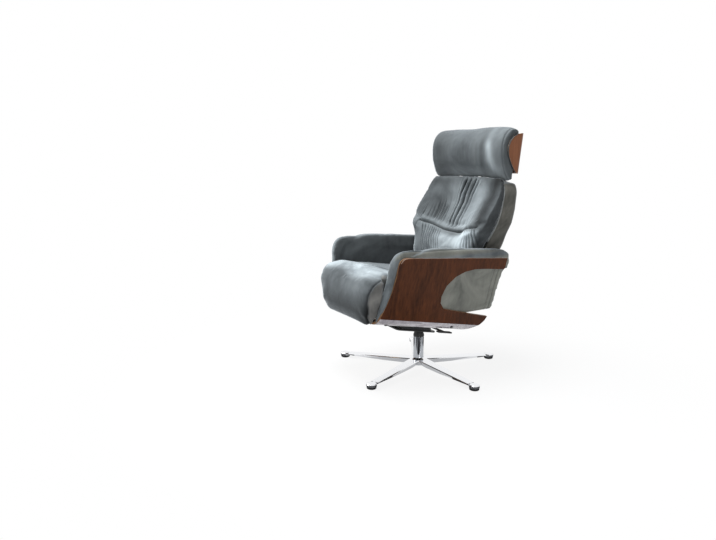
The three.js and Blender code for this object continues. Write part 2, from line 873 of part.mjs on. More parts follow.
// Bolts through the turned-under flange
const shellBolt = turned([
  [0, flangeRise - gap - shellBoltHeadHeight],
  [shellBoltHead / 2 - gap, flangeRise - gap - shellBoltHeadHeight],
  [shellBoltHead / 2, flangeRise - gap - shellBoltHeadHeight / 2],
  [shellBoltHead / 2, flangeRise - gap],
  [shellBoltHead / 4, flangeRise - gap],
  [shellBoltHead / 4, railFoot - gap],
  [0, railFoot - gap],
], 16);
for (const [end, place] of [['front', frontBoltPlace], ['rear', rearBoltPlace]]) {
  for (const [side, sign] of [['left', 1], ['right', -1]]) {
    const mesh = add(seatGroup, `shell_bolt_${end}_${side}`, shellBolt, blackSteel);
    mesh.position.set(sign * shellBoltInset, place, 0);
  }
}

// Bolts through the bend, their heads in spot faces
for (const [end, spot] of [['front', frontBendBolt], ['rear', rearBendBolt]]) {
  const seat = gap - spotDepth;
  const bolt = join(
    outFromBend(spot, seat, seat + bendBoltHeadHeight, bendBoltHead),
    outFromBend(spot, -bendBoltLength, seat + bendBoltHeadHeight / 2, bendBoltShank));
  add(swivel, `bend_bolt_${end}_left`, bolt, blackSteel);
  add(swivel, `bend_bolt_${end}_right`, mirrored(bolt), blackSteel);
}

// Arm pad: a padded slab behind the walnut, its rim rolled out over the walnut's top edge
const padOutlineShares = [
  [0.000, 0.202], [0.020, 0.338], [0.049, 0.510], [0.070, 0.685], [0.088, 0.795], [0.127, 0.901],
  [0.214, 0.970], [0.287, 0.993], [0.480, 0.980], [0.830, 0.921], [0.949, 0.884], [0.993, 0.825],
  [1.000, 0.765], [0.988, 0.642], [0.973, 0.483], [0.956, 0.252], [0.947, 0.083], [0.917, 0.007],
  [0.798, 0.000], [0.618, 0.007], [0.351, 0.053], [0.087, 0.159],
];
const padSteps = 44;

function evenly(points, steps) {
  const curve = new THREE.CatmullRomCurve3(
    points.map(([a, b]) => new THREE.Vector3(a, b, 0)), true, 'centripetal');
  return curve.getSpacedPoints(steps).slice(0, -1);
}

// Rings of one outline, each drawn in by an inset and set at a level
function pillow(outline, layers) {
  const range = new THREE.Box3().setFromPoints(outline);
  const middle = range.getCenter(new THREE.Vector3());
  const half = range.getSize(new THREE.Vector3()).multiplyScalar(0.5);
  return layers.map(([inset, level]) => outline.map(p => new THREE.Vector3(
    middle.x + (p.x - middle.x) * (1 - inset / half.x),
    middle.y + (p.y - middle.y) * (1 - inset / half.y),
    level)));
}

const padOutline = evenly(onSide(padOutlineShares, padFront, padRear, padFoot, padTop), padSteps);
const padBody = loft(pillow(padOutline, [
  [2 * padRim, padProud],
  [padRim / 2, padProud],
  [padRim / 6, padProud - padRim / 6],
  [0, padProud - padRim / 2],
  [0, padRim - padThickness + padProud],
  [padRim / 6, padRim / 3 - padThickness + padProud],
  [padRim / 2, padRim / 8 - padThickness + padProud],
  [padRim * 1.2, padProud - padThickness],
  [padRim * 2.6, padProud - padThickness - padCrown],
]));
padBody.applyMatrix4(sideFrame);

const recessTop = upSide(shellTop - shellRearDrop);
const recessOutline = [
  [padFront - overrun, upSide(padFoot) - overrun],
  [padFront - overrun, shellFrontLine[4][1]],
  [shellFrontLine[5][0] - overrun, shellTopFront[1] - shellCorner],
  [shellTopFront[0] - gap, shellTopFront[1] + gap, shellCorner],
  [shellRear + gap, recessTop + gap, shellLip],
  [shellRear + gap, shellTip[1]],
  [padRear + overrun, shellTip[1] - shellLip],
  [padRear + overrun, upSide(padFoot) - overrun],
];
const recess = sidePrism(recessOutline, -plyThickness - gap, overrun, 8);
const seatClear = box(-sideBaseWidth, padInnerWidth / 2, padFront - overrun, padRear + overrun, 0, padTop);
const backClear = box(-sideBaseWidth, padRearWidth / 2, 0, padRear + overrun, 0, padTop);
const armPad = cut(padBody, recess, seatClear, backClear);
add(swivel, 'arm_pad_left', armPad, velvet);
add(swivel, 'arm_pad_right', mirrored(armPad), velvet);

// Seat cushion: a deep pad with a rolled front and one sewn channel behind the roll
const seatOutlineShares = [
  [1.000, 0.306], [1.000, 0.612], [0.981, 0.750], [0.890, 0.776], [0.663, 0.832], [0.436, 0.908],
  [0.303, 0.945], [0.189, 0.998], [0.104, 0.975], [0.042, 0.870], [0.006, 0.680], [0.000, 0.470],
  [0.012, 0.250], [0.040, 0.080], [0.085, 0.010],
];
const seatLine = fromShares(seatOutlineShares, seatFront, seatRear, seatFoot, seatTop);
const seatShape = [...seatLine, [seatWaistPlace, seatFoot], [seatRear, seatFoot - deckWidth / 4]];
const deckTopAt = along => railTopAt(along) + gap + deckThickness + gap;
const seatStep = toSlope(shellFront - gap, sideBaseHeight)[0];
const underSeat = acrossX(roundedShape([
  [deckRear + overrun, deckTopAt(deckRear + overrun)],
  [deckFront - gap, deckTopAt(deckFront), deckNoseRadius],
  [deckFront - gap, housingTop + seatLift],
  [seatStep, housingTop + seatLift],
  [seatStep, plateThickness],
  [seatFront - railFront, plateThickness],
  [seatFront - railFront, -overrun],
  [deckRear + overrun, -overrun],
]), -seatWidth, seatWidth);
underSeat.rotateX(-seatTilt);
underSeat.translate(0, 0, plateHeight);
const seatStations = 14;

function seatRing(share) {
  const edge = Math.abs(share);
  const inset = seatEdge * Math.pow(edge, 10);
  const crown = seatCrown * (1 - edge * edge);
  return seatShape.map(([foreAft, height]) => {
    const high = THREE.MathUtils.smoothstep(height, seatTop - seatTop / 4, seatTop);
    const middleY = (seatFront + seatRear) / 2;
    const middleZ = (seatFoot + seatTop) / 2;
    const draw = inset * THREE.MathUtils.clamp((height - middleZ) / seatEdge, -1, 1) * high;
    const frontDraw = inset * THREE.MathUtils.clamp((foreAft - middleY) / seatEdge, -1, 0);
    const channel = seatChannel * Math.exp(-(((foreAft - seatChannelPlace) / seatEdge) ** 2)) * high;
    const half = seatWidth / 2 - (seatTop - height) * Math.tan(sideFlare);
    return new THREE.Vector3(
      share * half,
      foreAft - frontDraw,
      height + crown * high - draw - channel);
  });
}
const seatRings = [];
for (let i = 0; i <= seatStations; i++) {
  const even = 2 * i / seatStations - 1;
  seatRings.push(seatRing(Math.sin(even * Math.PI / 2)));
}
const waistCut = acrossX(roundedShape([
  [seatWaistPlace, 0, 0], [seatRear + overrun, 0, 0],
  [seatRear + overrun, seatTop + overrun, 0], [seatWaistPlace, seatTop + overrun, 0],
]), seatWaist / 2, seatWidth);
add(swivel, 'seat_cushion', cut(loftFlatEnds(seatRings), underSeat, waistCut, mirrored(waistCut)), velvet);

// Gas spring under the deck, from a bracket on the front cross member to the back's crank
const crankEnd = toSlope(hingeForeAft, hingeHeight - crankLength);
const springLine = crankEnd[1];
const halfEye = springEyeWidth / 2;

function eyeRing(along, rise, diameter, halfWidth) {
  return bar(
    new THREE.Vector3(-halfWidth, along, rise), new THREE.Vector3(halfWidth, along, rise),
    diameter, roundSteps);
}

const springBody = bar(
  new THREE.Vector3(0, springAnchorPlace + springNeck, springLine),
  new THREE.Vector3(0, springAnchorPlace + springBodyLength, springLine),
  springDiameter);
const springNeckBar = bar(
  new THREE.Vector3(0, springAnchorPlace, springLine),
  new THREE.Vector3(0, springAnchorPlace + springNeck + gap, springLine),
  springRodDiameter);
const springCavity = bar(
  new THREE.Vector3(0, crankEnd[0] - springRodLength - springStroke, springLine),
  new THREE.Vector3(0, springAnchorPlace + springBodyLength + overrun, springLine),
  springBore);
add(seatGroup, 'gas_spring_cylinder', cut(
  join(springBody, springNeckBar, eyeRing(springAnchorPlace, springLine, springDiameter - gap, halfEye)),
  springCavity,
  eyeRing(springAnchorPlace, springLine, springPinDiameter + 2 * gap, springEyeWidth)), blackSteel);

const rodEyeDiameter = springEyeBore + springRodDiameter;
const springRod = bar(
  new THREE.Vector3(0, crankEnd[0] - springRodLength, springLine),
  new THREE.Vector3(0, crankEnd[0] - springEyeBore / 2, springLine),
  springRodDiameter);
add(seatGroup, 'gas_spring_rod', cut(
  join(springRod, eyeRing(crankEnd[0], springLine, rodEyeDiameter, halfEye)),
  eyeRing(crankEnd[0], springLine, springEyeBore, springEyeWidth)), zincSteel);

const bracketFoot = memberTop + gap;
const bracketInner = halfEye + runningClearance;
const bracketOuter = bracketInner + bracketThickness;
const bracketShape = roundedShape([
  [springAnchorPlace - springDiameter / 2, bracketFoot],
  [springAnchorPlace + springDiameter / 2, bracketFoot],
  [springAnchorPlace + springDiameter / 2, springLine + springPinDiameter, bracketThickness],
  [springAnchorPlace - springDiameter / 2, springLine + springPinDiameter, bracketThickness],
]);
const bracketSlot = box(
  -bracketInner, bracketInner,
  springAnchorPlace - springDiameter, springAnchorPlace + springDiameter,
  bracketFoot + bracketThickness, springLine + springDiameter);
add(seatGroup, 'gas_spring_bracket', cut(
  acrossX(bracketShape, -bracketOuter, bracketOuter),
  bracketSlot,
  eyeRing(springAnchorPlace, springLine, springPinDiameter + 2 * gap, bracketOuter + overrun)), blackSteel);
add(seatGroup, 'gas_spring_front_pin', eyeRing(
  springAnchorPlace, springLine, springPinDiameter, bracketOuter + bracketThickness / 2), zincSteel);

// Recline lever: a shaft out of the housing with a flat paddle for the fingers
const paddleShape = roundedShape([
  [leverReach - paddleWidth, leverPlace - paddleLength / 2, paddleWidth / 3],
  [leverReach, leverPlace - paddleLength / 2, paddleWidth / 3],
  [leverReach, leverPlace + paddleLength / 2, paddleWidth / 4],
  [leverReach - paddleWidth, leverPlace + paddleLength / 2, paddleWidth / 4],
]);
const paddle = extrude(paddleShape, paddleThickness, 5);
paddle.translate(0, 0, leverRise - paddleThickness / 2);
add(seatGroup, 'recline_lever', join(
  bar(
    new THREE.Vector3(leverRoot, leverPlace, leverRise),
    new THREE.Vector3(leverReach - paddleWidth / 2, leverPlace, leverRise),
    leverShaftDiameter),
  paddle), blackPlastic);

// Back: how its lip, rear and half width change from foot to top, at even steps
const backLipShares = [0.00, 0.23, 0.46, 0.71, 0.89, 1.00];
const backRearShares = [0.00, 0.27, 0.49, 0.71, 0.90, 0.97];
const backWidthShares = [0.00, 0.11, 0.41, 0.89, 1.00, 0.88];

function smoothly(shares, at) {
  const curve = new THREE.SplineCurve(shares.map((share, i) => new THREE.Vector2(i, share)));
  return curve.getPoint(THREE.MathUtils.clamp(at, 0, 1)).y;
}

function backAt(height) {
  const up = (height - backFoot) / (backTop - backFoot);
  return {
    lip: THREE.MathUtils.lerp(backLipFoot, backLipTop, smoothly(backLipShares, up)),
    rear: THREE.MathUtils.lerp(backRearFoot, backRearTop, smoothly(backRearShares, up)),
    half: THREE.MathUtils.lerp(backFootWidth, backWidth, smoothly(backWidthShares, up)) / 2,
  };
}

// Velvet-covered outer back, a pan with its open side to the front
const panCornerSteps = 4;
const panRearSteps = 4;
function panRing(height, wall, inset, forward) {
  const { lip, rear, half } = backAt(height);
  const side = half - wall - inset;
  const corner = backCorner - wall;
  const end = rear - wall - inset;
  const right = [[side, lip - forward + inset], [side, (lip + end - corner) / 2]];
  for (let i = 0; i <= panCornerSteps; i++) {
    const angle = i / panCornerSteps * Math.PI / 2;
    right.push([side - corner + corner * Math.cos(angle), end - corner + corner * Math.sin(angle)]);
  }
  for (let i = 1; i < panRearSteps; i++) {
    right.push([(side - corner) * (1 - i / panRearSteps), end]);
  }
  const left = right.slice().reverse().map(([x, y]) => [-x, y]);
  const whole = [...right, [0, end], ...left];
  return whole.map(([x, y]) => new THREE.Vector3(
    x, y + (x === side || x === -side ? 0 : backRearCrown * (1 - (x / side) ** 2)), height));
}
const panLevels = 8;
const panOuter = [panRing(backFoot, 0, panWall / 2, 0)];
const panInner = [];
for (let i = 0; i <= panLevels; i++) {
  const share = i / panLevels;
  const outerHeight = THREE.MathUtils.lerp(backFoot + panWall / 2, backTop - panWall / 2, share);
  const innerHeight = THREE.MathUtils.lerp(backFoot + panWall, backTop - panWall, share);
  panOuter.push(panRing(outerHeight, 0, 0, 0));
  panInner.push(panRing(innerHeight, panWall, 0, overrun));
}
panOuter.push(panRing(backTop, 0, panWall / 2, 0));

// Flat steel bars inside the back, from the recline hinge to the headrest guides
const barShare = 0.58;
const barOuter = railInner - 4 * gap - runningClearance * 2;
const barInner = barOuter - backBarThickness;
const barLine = [[hingeForeAft, hingeHeight]];
const barLevels = 6;
const barTop = guidePlateHeight + guidePlateFront / 8;
for (let i = 0; i <= barLevels; i++) {
  const height = THREE.MathUtils.lerp(backFoot + panWall, barTop, i / barLevels);
  const { lip, rear } = backAt(height);
  barLine.push([lip + barShare * (rear - lip), height]);
}

function strip(line, width) {
  const left = [];
  const right = [];
  line.forEach(([a, b], i) => {
    const [a0, b0] = line[Math.max(i - 1, 0)];
    const [a1, b1] = line[Math.min(i + 1, line.length - 1)];
    const length = Math.hypot(a1 - a0, b1 - b0);
    const across = [-(b1 - b0) / length * width / 2, (a1 - a0) / length * width / 2];
    left.push([a + across[0], b + across[1]]);
    right.push([a - across[0], b - across[1]]);
  });
  return [...left, ...right.reverse()];
}

const hingeAxisBar = (diameter, x0, x1) => bar(
  new THREE.Vector3(x0, hingeForeAft, hingeHeight), new THREE.Vector3(x1, hingeForeAft, hingeHeight),
  diameter, roundSteps);
const hingeBoreDiameter = hingePinDiameter + 2 * runningClearance;
const barSolid = cut(
  join(
    acrossX(roundedShape(strip(barLine, backBarWidth)), barInner, barOuter),
    hingeAxisBar(backBarWidth + 2 * gap, barInner, barOuter)),
  hingeAxisBar(hingeBoreDiameter, 0, railSpacing));
const barSlot = acrossX(
  roundedShape(strip(barLine, backBarWidth + 4 * gap)), barInner - 2 * gap, barOuter + 2 * gap);

// Headrest posts and guides share one leaning line
function onPost(height) {
  return axleForeAft - (axleHeight - height) * Math.tan(postLean);
}
function postBar(side, low, high, diameter, steps = roundSteps) {
  const x = side * postSpacing / 2;
  return bar(
    new THREE.Vector3(x, onPost(low), low), new THREE.Vector3(x, onPost(high), high), diameter, steps);
}
const guideBores = [-1, 1].map(side => postBar(
  side, guideTop - guideLength - overrun, guideTop + overrun, guideDiameter + 2 * gap));

add(swivel, 'back_shell', cut(
  loft(panOuter), loft(panInner), barSlot, mirrored(barSlot), ...guideBores), velvetShade);
add(swivel, 'back_bar_left', barSolid, blackSteel);
add(swivel, 'back_bar_right', mirrored(barSolid), blackSteel);

const guidePlate = box(
  -barInner + gap, barInner - gap, guidePlateFront, guidePlateRear,
  guidePlateHeight - guidePlateThickness, guidePlateHeight);
add(swivel, 'headrest_guide_plate', cut(guidePlate, ...guideBores), blackSteel);

// Torque tube between the bars, with the crank that works the gas spring
const tubeHalf = barInner - gap;
const crankInner = crankSpacing / 2;
function crankPlate(x) {
  const foot = hingeHeight - crankLength;
  return join(
    box(x, x + crankThickness, hingeForeAft - crankEye / 2 - crankThickness,
      hingeForeAft + crankEye / 2 + crankThickness, foot, hingeHeight),
    bar(new THREE.Vector3(x, hingeForeAft, foot), new THREE.Vector3(x + crankThickness, hingeForeAft, foot),
      crankEye + 2 * crankThickness, roundSteps));
}
const crankBore = bar(
  new THREE.Vector3(-crankSpacing * 2, hingeForeAft, hingeHeight - crankLength),
  new THREE.Vector3(crankSpacing * 2, hingeForeAft, hingeHeight - crankLength),
  springPinDiameter + 2 * gap, roundSteps);
const tubeEndBores = [-1, 1].map(side => hingeAxisBar(
  hingeBoreDiameter, side * (tubeHalf - hingePinDiameter * 1.5), side * railSpacing));
add(swivel, 'back_torque_tube', cut(
  join(
    hingeAxisBar(torqueTubeDiameter, -tubeHalf, tubeHalf),
    crankPlate(crankInner), crankPlate(-crankInner - crankThickness)),
  ...tubeEndBores, crankBore), blackSteel);
add(swivel, 'gas_spring_rear_pin', bar(
  new THREE.Vector3(-crankInner - 1.5 * crankThickness, hingeForeAft, hingeHeight - crankLength),
  new THREE.Vector3(crankInner + 1.5 * crankThickness, hingeForeAft, hingeHeight - crankLength),
  springPinDiameter, roundSteps), zincSteel);

// Hinge pins, headed outside the rails
const railOuter = railInner + railThickness;
for (const [side, sign] of [['left', 1], ['right', -1]]) {
  const pin = join(
    hingeAxisBar(hingePinDiameter, sign * (tubeHalf - hingePinDiameter), sign * (railOuter + 2 * gap)),
    hingeAxisBar(hingePinHead, sign * (railOuter + gap), sign * (railOuter + gap + hingePinHeadHeight)));
  add(swivel, `recline_pin_${side}`, pin, zincSteel);
}

// Back cushion: full lumbar, hollow above it, gathered pleats above a curved seam, gathers beside it
const crownShares = [0.00, 0.30, 0.60, 1.00, 0.40, 0.05, -0.30, -0.30, 0.00];
const gussetShares = [0.30, 0.70, 1.00, 1.00, 1.00, 0.80, 0.50, 0.25, 0.05];
const padAcross = 28;
const padBehind = 5;
const padSpace = 4 * gap;
const seamShare = (backSeamHeight - backPadFoot) / (backPadTop - backPadFoot);
const seamStep = 0.022;

function padRing(share) {
  const flatHeight = THREE.MathUtils.lerp(backPadFoot, backPadTop, share);
  const nearEnd = Math.max(0, (Math.abs(2 * share - 1) - 0.86) / 0.14);
  const round = Math.sqrt(Math.max(0, 1 - nearEnd * nearEnd));
  const follow = Math.exp(-(((share - seamShare) / 0.22) ** 2));
  const seam = Math.exp(-(((share - seamShare) / seamStep) ** 2));
  const ring = [];
  for (let i = 0; i <= padAcross; i++) {
    const across = Math.sin((2 * i / padAcross - 1) * Math.PI / 2);
    const height = flatHeight - backSeamDrop * (1 - across * across) * follow;
    const { lip, half } = backAt(height);
    const x = across * (half - backPadSideDraw * (1 - round));
    const crown = backPadCrown * smoothly(crownShares, share) * (1 - across ** 4);
    const above = THREE.MathUtils.smoothstep(share, seamShare, seamShare + 0.08) * (1 - nearEnd);
    const below = 1 - THREE.MathUtils.smoothstep(share, seamShare - 0.2, seamShare - 0.02);
    const middle = Math.exp(-((x / backPleatPitch) ** 2));
    const flank = 1 - Math.exp(-((x / (3 * backPleatPitch)) ** 4));
    const pleat = backPleatDepth * Math.cos(2 * Math.PI * x / backPleatPitch) * middle * above;
    const ripple = Math.cos(4 * Math.PI * x / backPleatPitch);
    const gather = backPleatDepth / 3 * ripple * flank * (1 - below) * round;
    const gusset = backPadGusset * smoothly(gussetShares, share);
    const thickness = gusset + crown + pleat + gather - backSeamDepth * seam;
    const rearFace = lip - padSpace;
    const edgeDraw = across ** 12 * gusset * 0.3;
    const front = rearFace - Math.max(gap, (thickness - edgeDraw) * (0.12 + 0.88 * round));
    ring.push(new THREE.Vector3(x, front, height));
  }
  const { lip, half } = backAt(flatHeight);
  for (let i = 0; i <= padBehind; i++) {
    const x = (1 - 2 * i / padBehind) * (half - backPadSideDraw * (1 - round) - backPadSideDraw / 2);
    ring.push(new THREE.Vector3(x, lip - padSpace, flatHeight));
  }
  return ring;
}
const padShares = [
  0, 0.012, 0.035, 0.07, 0.13, 0.20, 0.28, 0.36, 0.44, 0.50,
  seamShare - 2 * seamStep, seamShare - seamStep, seamShare, seamShare + seamStep, seamShare + 2 * seamStep,
  0.70, 0.77, 0.84, 0.90, 0.94, 0.97, 0.99, 1,
];
add(swivel, 'back_cushion', loft(padShares.map(padRing)), velvet);

// Headrest posts, axle and guides
for (const [side, sign] of [['left', 1], ['right', -1]]) {
  const eye = bar(
    new THREE.Vector3(sign * (postSpacing - postDiameter) / 2, axleForeAft, axleHeight),
    new THREE.Vector3(sign * (postSpacing + postDiameter) / 2, axleForeAft, axleHeight), postEye);
  const eyeBore = bar(
    new THREE.Vector3(-axleLength, axleForeAft, axleHeight),
    new THREE.Vector3(axleLength, axleForeAft, axleHeight), axleDiameter + 2 * gap);
  const post = join(postBar(sign, axleHeight - postLength, axleHeight, postDiameter), eye);
  add(swivel, `headrest_post_${side}`, cut(post, eyeBore), chrome);
  const headLow = guideTop - guideHeadHeight;
  const sleeve = join(
    postBar(sign, guideTop - guideLength, guideTop - gap, guideDiameter),
    postBar(sign, headLow, guideTop, guideHead));
  const sleeveBore = postBar(
    sign, guideTop - guideLength - overrun, guideTop + overrun, postDiameter + 2 * gap);
  add(swivel, `headrest_guide_${side}`, cut(sleeve, sleeveBore), blackPlastic);
}
add(swivel, 'headrest_axle', bar(
  new THREE.Vector3(-axleLength / 2, axleForeAft, axleHeight),
  new THREE.Vector3(axleLength / 2, axleForeAft, axleHeight), axleDiameter), zincSteel);

// Headrest shell: thin plywood bent round behind the pillow, its ends cut to leaf shapes
function plyRearAt(height) {
  return headPlyRear - (headPlyTop - height) * Math.tan(headPlyLean);
}
const plyHalf = headPlyWidth / 2;
const plyReach = wingReach + overrun;
const plyPlan = roundedShape([
  [-plyHalf, -plyReach, 0], [-plyHalf, 0, headPlyBend], [plyHalf, 0, headPlyBend], [plyHalf, -plyReach, 0],
  [plyHalf - headPlyThickness, -plyReach, 0],
  [plyHalf - headPlyThickness, -headPlyThickness, headPlyBend - headPlyThickness],
  [-plyHalf + headPlyThickness, -headPlyThickness, headPlyBend - headPlyThickness],
  [-plyHalf + headPlyThickness, -plyReach, 0],
]);
const plyBlock = extrude(plyPlan, headPlyTop - headPlyFoot + 2 * overrun, 6);
plyBlock.applyMatrix4(new THREE.Matrix4().set(
  1, 0, 0, 0,
  0, 1, Math.tan(headPlyLean), 0,
  0, 0, 1, 0,
  0, 0, 0, 1));
plyBlock.translate(0, plyRearAt(headPlyFoot - overrun), headPlyFoot - overrun);
const wingShares = [
  [0.000, 0.22], [0.090, 0.43], [0.260, 0.70], [0.420, 0.90], [0.560, 0.99], [0.700, 0.99],
  [0.830, 0.88], [0.920, 0.70], [0.980, 0.45], [1.000, 0.25],
];
const wingLine = wingShares.map(([up, out]) => {
  const height = THREE.MathUtils.lerp(headPlyFoot, headPlyTop, up);
  return [plyRearAt(height) - out * wingReach, height];
});
const wingPrism = acrossX(roundedShape([
  [headPlyRear + overrun, headPlyFoot], ...wingLine, [headPlyRear + overrun, headPlyTop],
]), -headPlyWidth, headPlyWidth);
add(swivel, 'headrest_shell', common(plyBlock, wingPrism), paleWalnut);

// Friction clamps that hold the shell on the axle
for (const [side, sign] of [['left', 1], ['right', -1]]) {
  const lowRear = plyRearAt(axleHeight - clampHeight / 2) - headPlyThickness - gap;
  const highRear = plyRearAt(axleHeight + clampHeight / 2) - headPlyThickness - gap;
  const block = acrossX(roundedShape([
    [axleForeAft - clampFront, axleHeight - clampHeight / 2, clampFront / 2],
    [lowRear, axleHeight - clampHeight / 2, 0],
    [highRear, axleHeight + clampHeight / 2, 0],
    [axleForeAft - clampFront, axleHeight + clampHeight / 2, clampFront / 2],
  ]), sign * clampPlace - clampWidth / 2, sign * clampPlace + clampWidth / 2);
  const bore = bar(
    new THREE.Vector3(-axleLength, axleForeAft, axleHeight),
    new THREE.Vector3(axleLength, axleForeAft, axleHeight), axleDiameter + 2 * runningClearance);
  add(swivel, `headrest_clamp_${side}`, cut(block, bore), blackPlastic);
}

// Headrest pillow: a wide roll, its top rolled back over the shell
const headOutlineShares = [
  [0.680, 0.087], [0.680, 0.444], [0.680, 0.780], [0.800, 0.862], [0.960, 0.885], [0.990, 0.945],
  [0.788, 1.000], [0.556, 0.995], [0.303, 0.923], [0.101, 0.776], [0.000, 0.597], [0.000, 0.393],
  [0.061, 0.189], [0.202, 0.056], [0.404, 0.000], [0.600, 0.010],
];
const headSteps = 30;
const headOutline = evenly(
  fromShares(headOutlineShares, headFront, headRear, headFoot, headTop), headSteps);
const headStations = 12;
const headHalf = headPlyWidth / 2 - headPlyThickness - gap;
const headRings = [];
for (let i = 0; i <= headStations; i++) {
  const across = Math.sin((2 * i / headStations - 1) * Math.PI / 2);
  const inset = headEdge * across ** 16;
  const crown = headFrontCrown * (1 - across * across);
  const middle = new THREE.Vector3((headFront + headRear) / 2, (headFoot + headTop) / 2, 0);
  headRings.push(headOutline.map(p => {
    const forward = THREE.MathUtils.clamp((middle.x - p.x) / (middle.x - headFront), 0, 1);
    return new THREE.Vector3(
      across * headHalf,
      middle.x + (p.x - middle.x) * (1 - forward * inset / (middle.x - headFront)) - crown * forward,
      middle.y + (p.y - middle.y) * (1 - inset / 2 / (headTop - middle.y)));
  }));
}

// Pockets at the back of the pillow, so that it clears the posts as it tilts
const pocketTop = axleHeight + clampHeight / 2;
const pocketFront = axleForeAft - clampFront - 2 * runningClearance;
const pocketShape = roundedShape([
  [pocketFront, pocketTop],
  [pocketFront, axleHeight],
  [pocketFront - (axleHeight - headFoot + overrun) * Math.tan(postLean + headTilt), headFoot - overrun],
  [headRear, headFoot - overrun],
  [headRear, pocketTop],
]);
const pocketHalf = pocketWidth / 2;
const pockets = [-1, 1].map(side => acrossX(
  pocketShape, side * postSpacing / 2 - pocketHalf, side * postSpacing / 2 + pocketHalf));
add(swivel, 'headrest_cushion', cut(loftFlatEnds(headRings), ...pockets), velvet);

export default chair;
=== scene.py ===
import bpy
import bmesh
import json
import math
import numpy as np
from mathutils import Euler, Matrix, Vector
from mathutils.bvhtree import BVHTree


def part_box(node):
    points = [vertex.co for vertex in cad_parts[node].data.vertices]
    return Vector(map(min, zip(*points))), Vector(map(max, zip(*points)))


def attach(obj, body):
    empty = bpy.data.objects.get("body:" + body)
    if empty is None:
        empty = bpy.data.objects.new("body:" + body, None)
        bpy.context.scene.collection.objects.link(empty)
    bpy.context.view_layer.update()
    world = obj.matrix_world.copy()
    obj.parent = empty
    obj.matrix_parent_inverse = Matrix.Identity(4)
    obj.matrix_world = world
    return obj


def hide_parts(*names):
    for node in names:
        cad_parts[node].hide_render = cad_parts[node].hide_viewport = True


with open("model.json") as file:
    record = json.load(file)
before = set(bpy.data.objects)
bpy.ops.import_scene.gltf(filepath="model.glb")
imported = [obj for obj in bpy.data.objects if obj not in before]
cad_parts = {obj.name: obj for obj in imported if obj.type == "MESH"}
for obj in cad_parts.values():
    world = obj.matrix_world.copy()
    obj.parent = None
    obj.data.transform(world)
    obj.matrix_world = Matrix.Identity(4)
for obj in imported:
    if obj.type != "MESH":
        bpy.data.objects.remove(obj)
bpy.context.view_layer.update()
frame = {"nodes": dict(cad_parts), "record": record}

# Camera
# It stands in front and to the left of the sitter, a little above arm height,
# at the angle and distance that the photograph's perspective gives.
tube_low, tube_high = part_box("column_tube")
axis = Vector(((tube_low.x + tube_high.x) / 2, (tube_low.y + tube_high.y) / 2, 0))
lens = bpy.data.cameras.new("camera")
film_width, photo_width, focal_pixels = 36, 716, 590
lens.sensor_width = film_width
lens.lens = focal_pixels / photo_width * film_width
camera = bpy.data.objects.new("camera", lens)
stand = Vector((2.0804, -1.4624, 0.9069))
sight = Vector((-0.8597, 0.4766, -0.1837))
camera.location = axis + stand
camera.rotation_euler = sight.to_track_quat("-Z", "Y").to_euler()
bpy.context.scene.collection.objects.link(camera)
bpy.context.scene.camera = camera
bpy.context.scene.view_settings.view_transform = "Standard"


# Floor and backdrop
# A sweep of white paper that keeps the chair's faint shadow near its feet
# and runs out to plain white further off.
def cleared_tree(owner):
    owner.use_nodes = True
    owner.node_tree.nodes.clear()
    return owner.node_tree


def add_node(tree, kind, **values):
    made = tree.nodes.new(kind)
    for name, value in values.items():
        socket = name.replace("_", " ")
        if socket in made.inputs:
            made.inputs[socket].default_value = value
        else:
            setattr(made, name, value)
    return made


def finish_tree(tree, shader, kind="ShaderNodeOutputMaterial"):
    end = add_node(tree, kind)
    tree.links.new(shader.outputs[0], end.inputs["Surface"])


def seen_or_mirrored(tree):
    """1 where the camera, a mirror or a glass looks, and 0 where light only bounces."""
    path = add_node(tree, "ShaderNodeLightPath")
    first = add_node(tree, "ShaderNodeMath", operation="MAXIMUM")
    second = add_node(tree, "ShaderNodeMath", operation="MAXIMUM")
    tree.links.new(path.outputs["Is Camera Ray"], first.inputs[0])
    tree.links.new(path.outputs["Is Glossy Ray"], first.inputs[1])
    tree.links.new(first.outputs[0], second.inputs[0])
    tree.links.new(path.outputs["Is Transmission Ray"], second.inputs[1])
    return second.outputs[0]


paper_reach = 12
shadow_edge, glow_edge = 0.45, 1.3
floor_mesh = bpy.data.meshes.new("floor")
floor_build = bmesh.new()
bmesh.ops.create_grid(floor_build, x_segments=2, y_segments=2, size=paper_reach)
floor_build.to_mesh(floor_mesh)
floor_build.free()
floor = bpy.data.objects.new("floor", floor_mesh)
bpy.context.scene.collection.objects.link(floor)
paper = bpy.data.materials.new("floor_paper")
tree = cleared_tree(paper)
matt = add_node(tree, "ShaderNodeBsdfDiffuse", Color=(0.82, 0.82, 0.82, 1))
glow = add_node(tree, "ShaderNodeEmission", Color=(1, 1, 1, 1), Strength=1.0)
place = add_node(tree, "ShaderNodeTexCoord")
reach = add_node(tree, "ShaderNodeVectorMath", operation="LENGTH")
tree.links.new(place.outputs["Object"], reach.inputs[0])
fade = add_node(
    tree, "ShaderNodeMapRange",
    From_Min=shadow_edge, From_Max=glow_edge, To_Min=0.86, To_Max=1.0)
tree.links.new(reach.outputs["Value"], fade.inputs["Value"])
share = add_node(tree, "ShaderNodeMath", operation="MULTIPLY")
tree.links.new(seen_or_mirrored(tree), share.inputs[0])
tree.links.new(fade.outputs[0], share.inputs[1])
mixed = add_node(tree, "ShaderNodeMixShader")
tree.links.new(share.outputs[0], mixed.inputs[0])
tree.links.new(matt.outputs[0], mixed.inputs[1])
tree.links.new(glow.outputs[0], mixed.inputs[2])
finish_tree(tree, mixed)
floor_mesh.materials.append(paper)

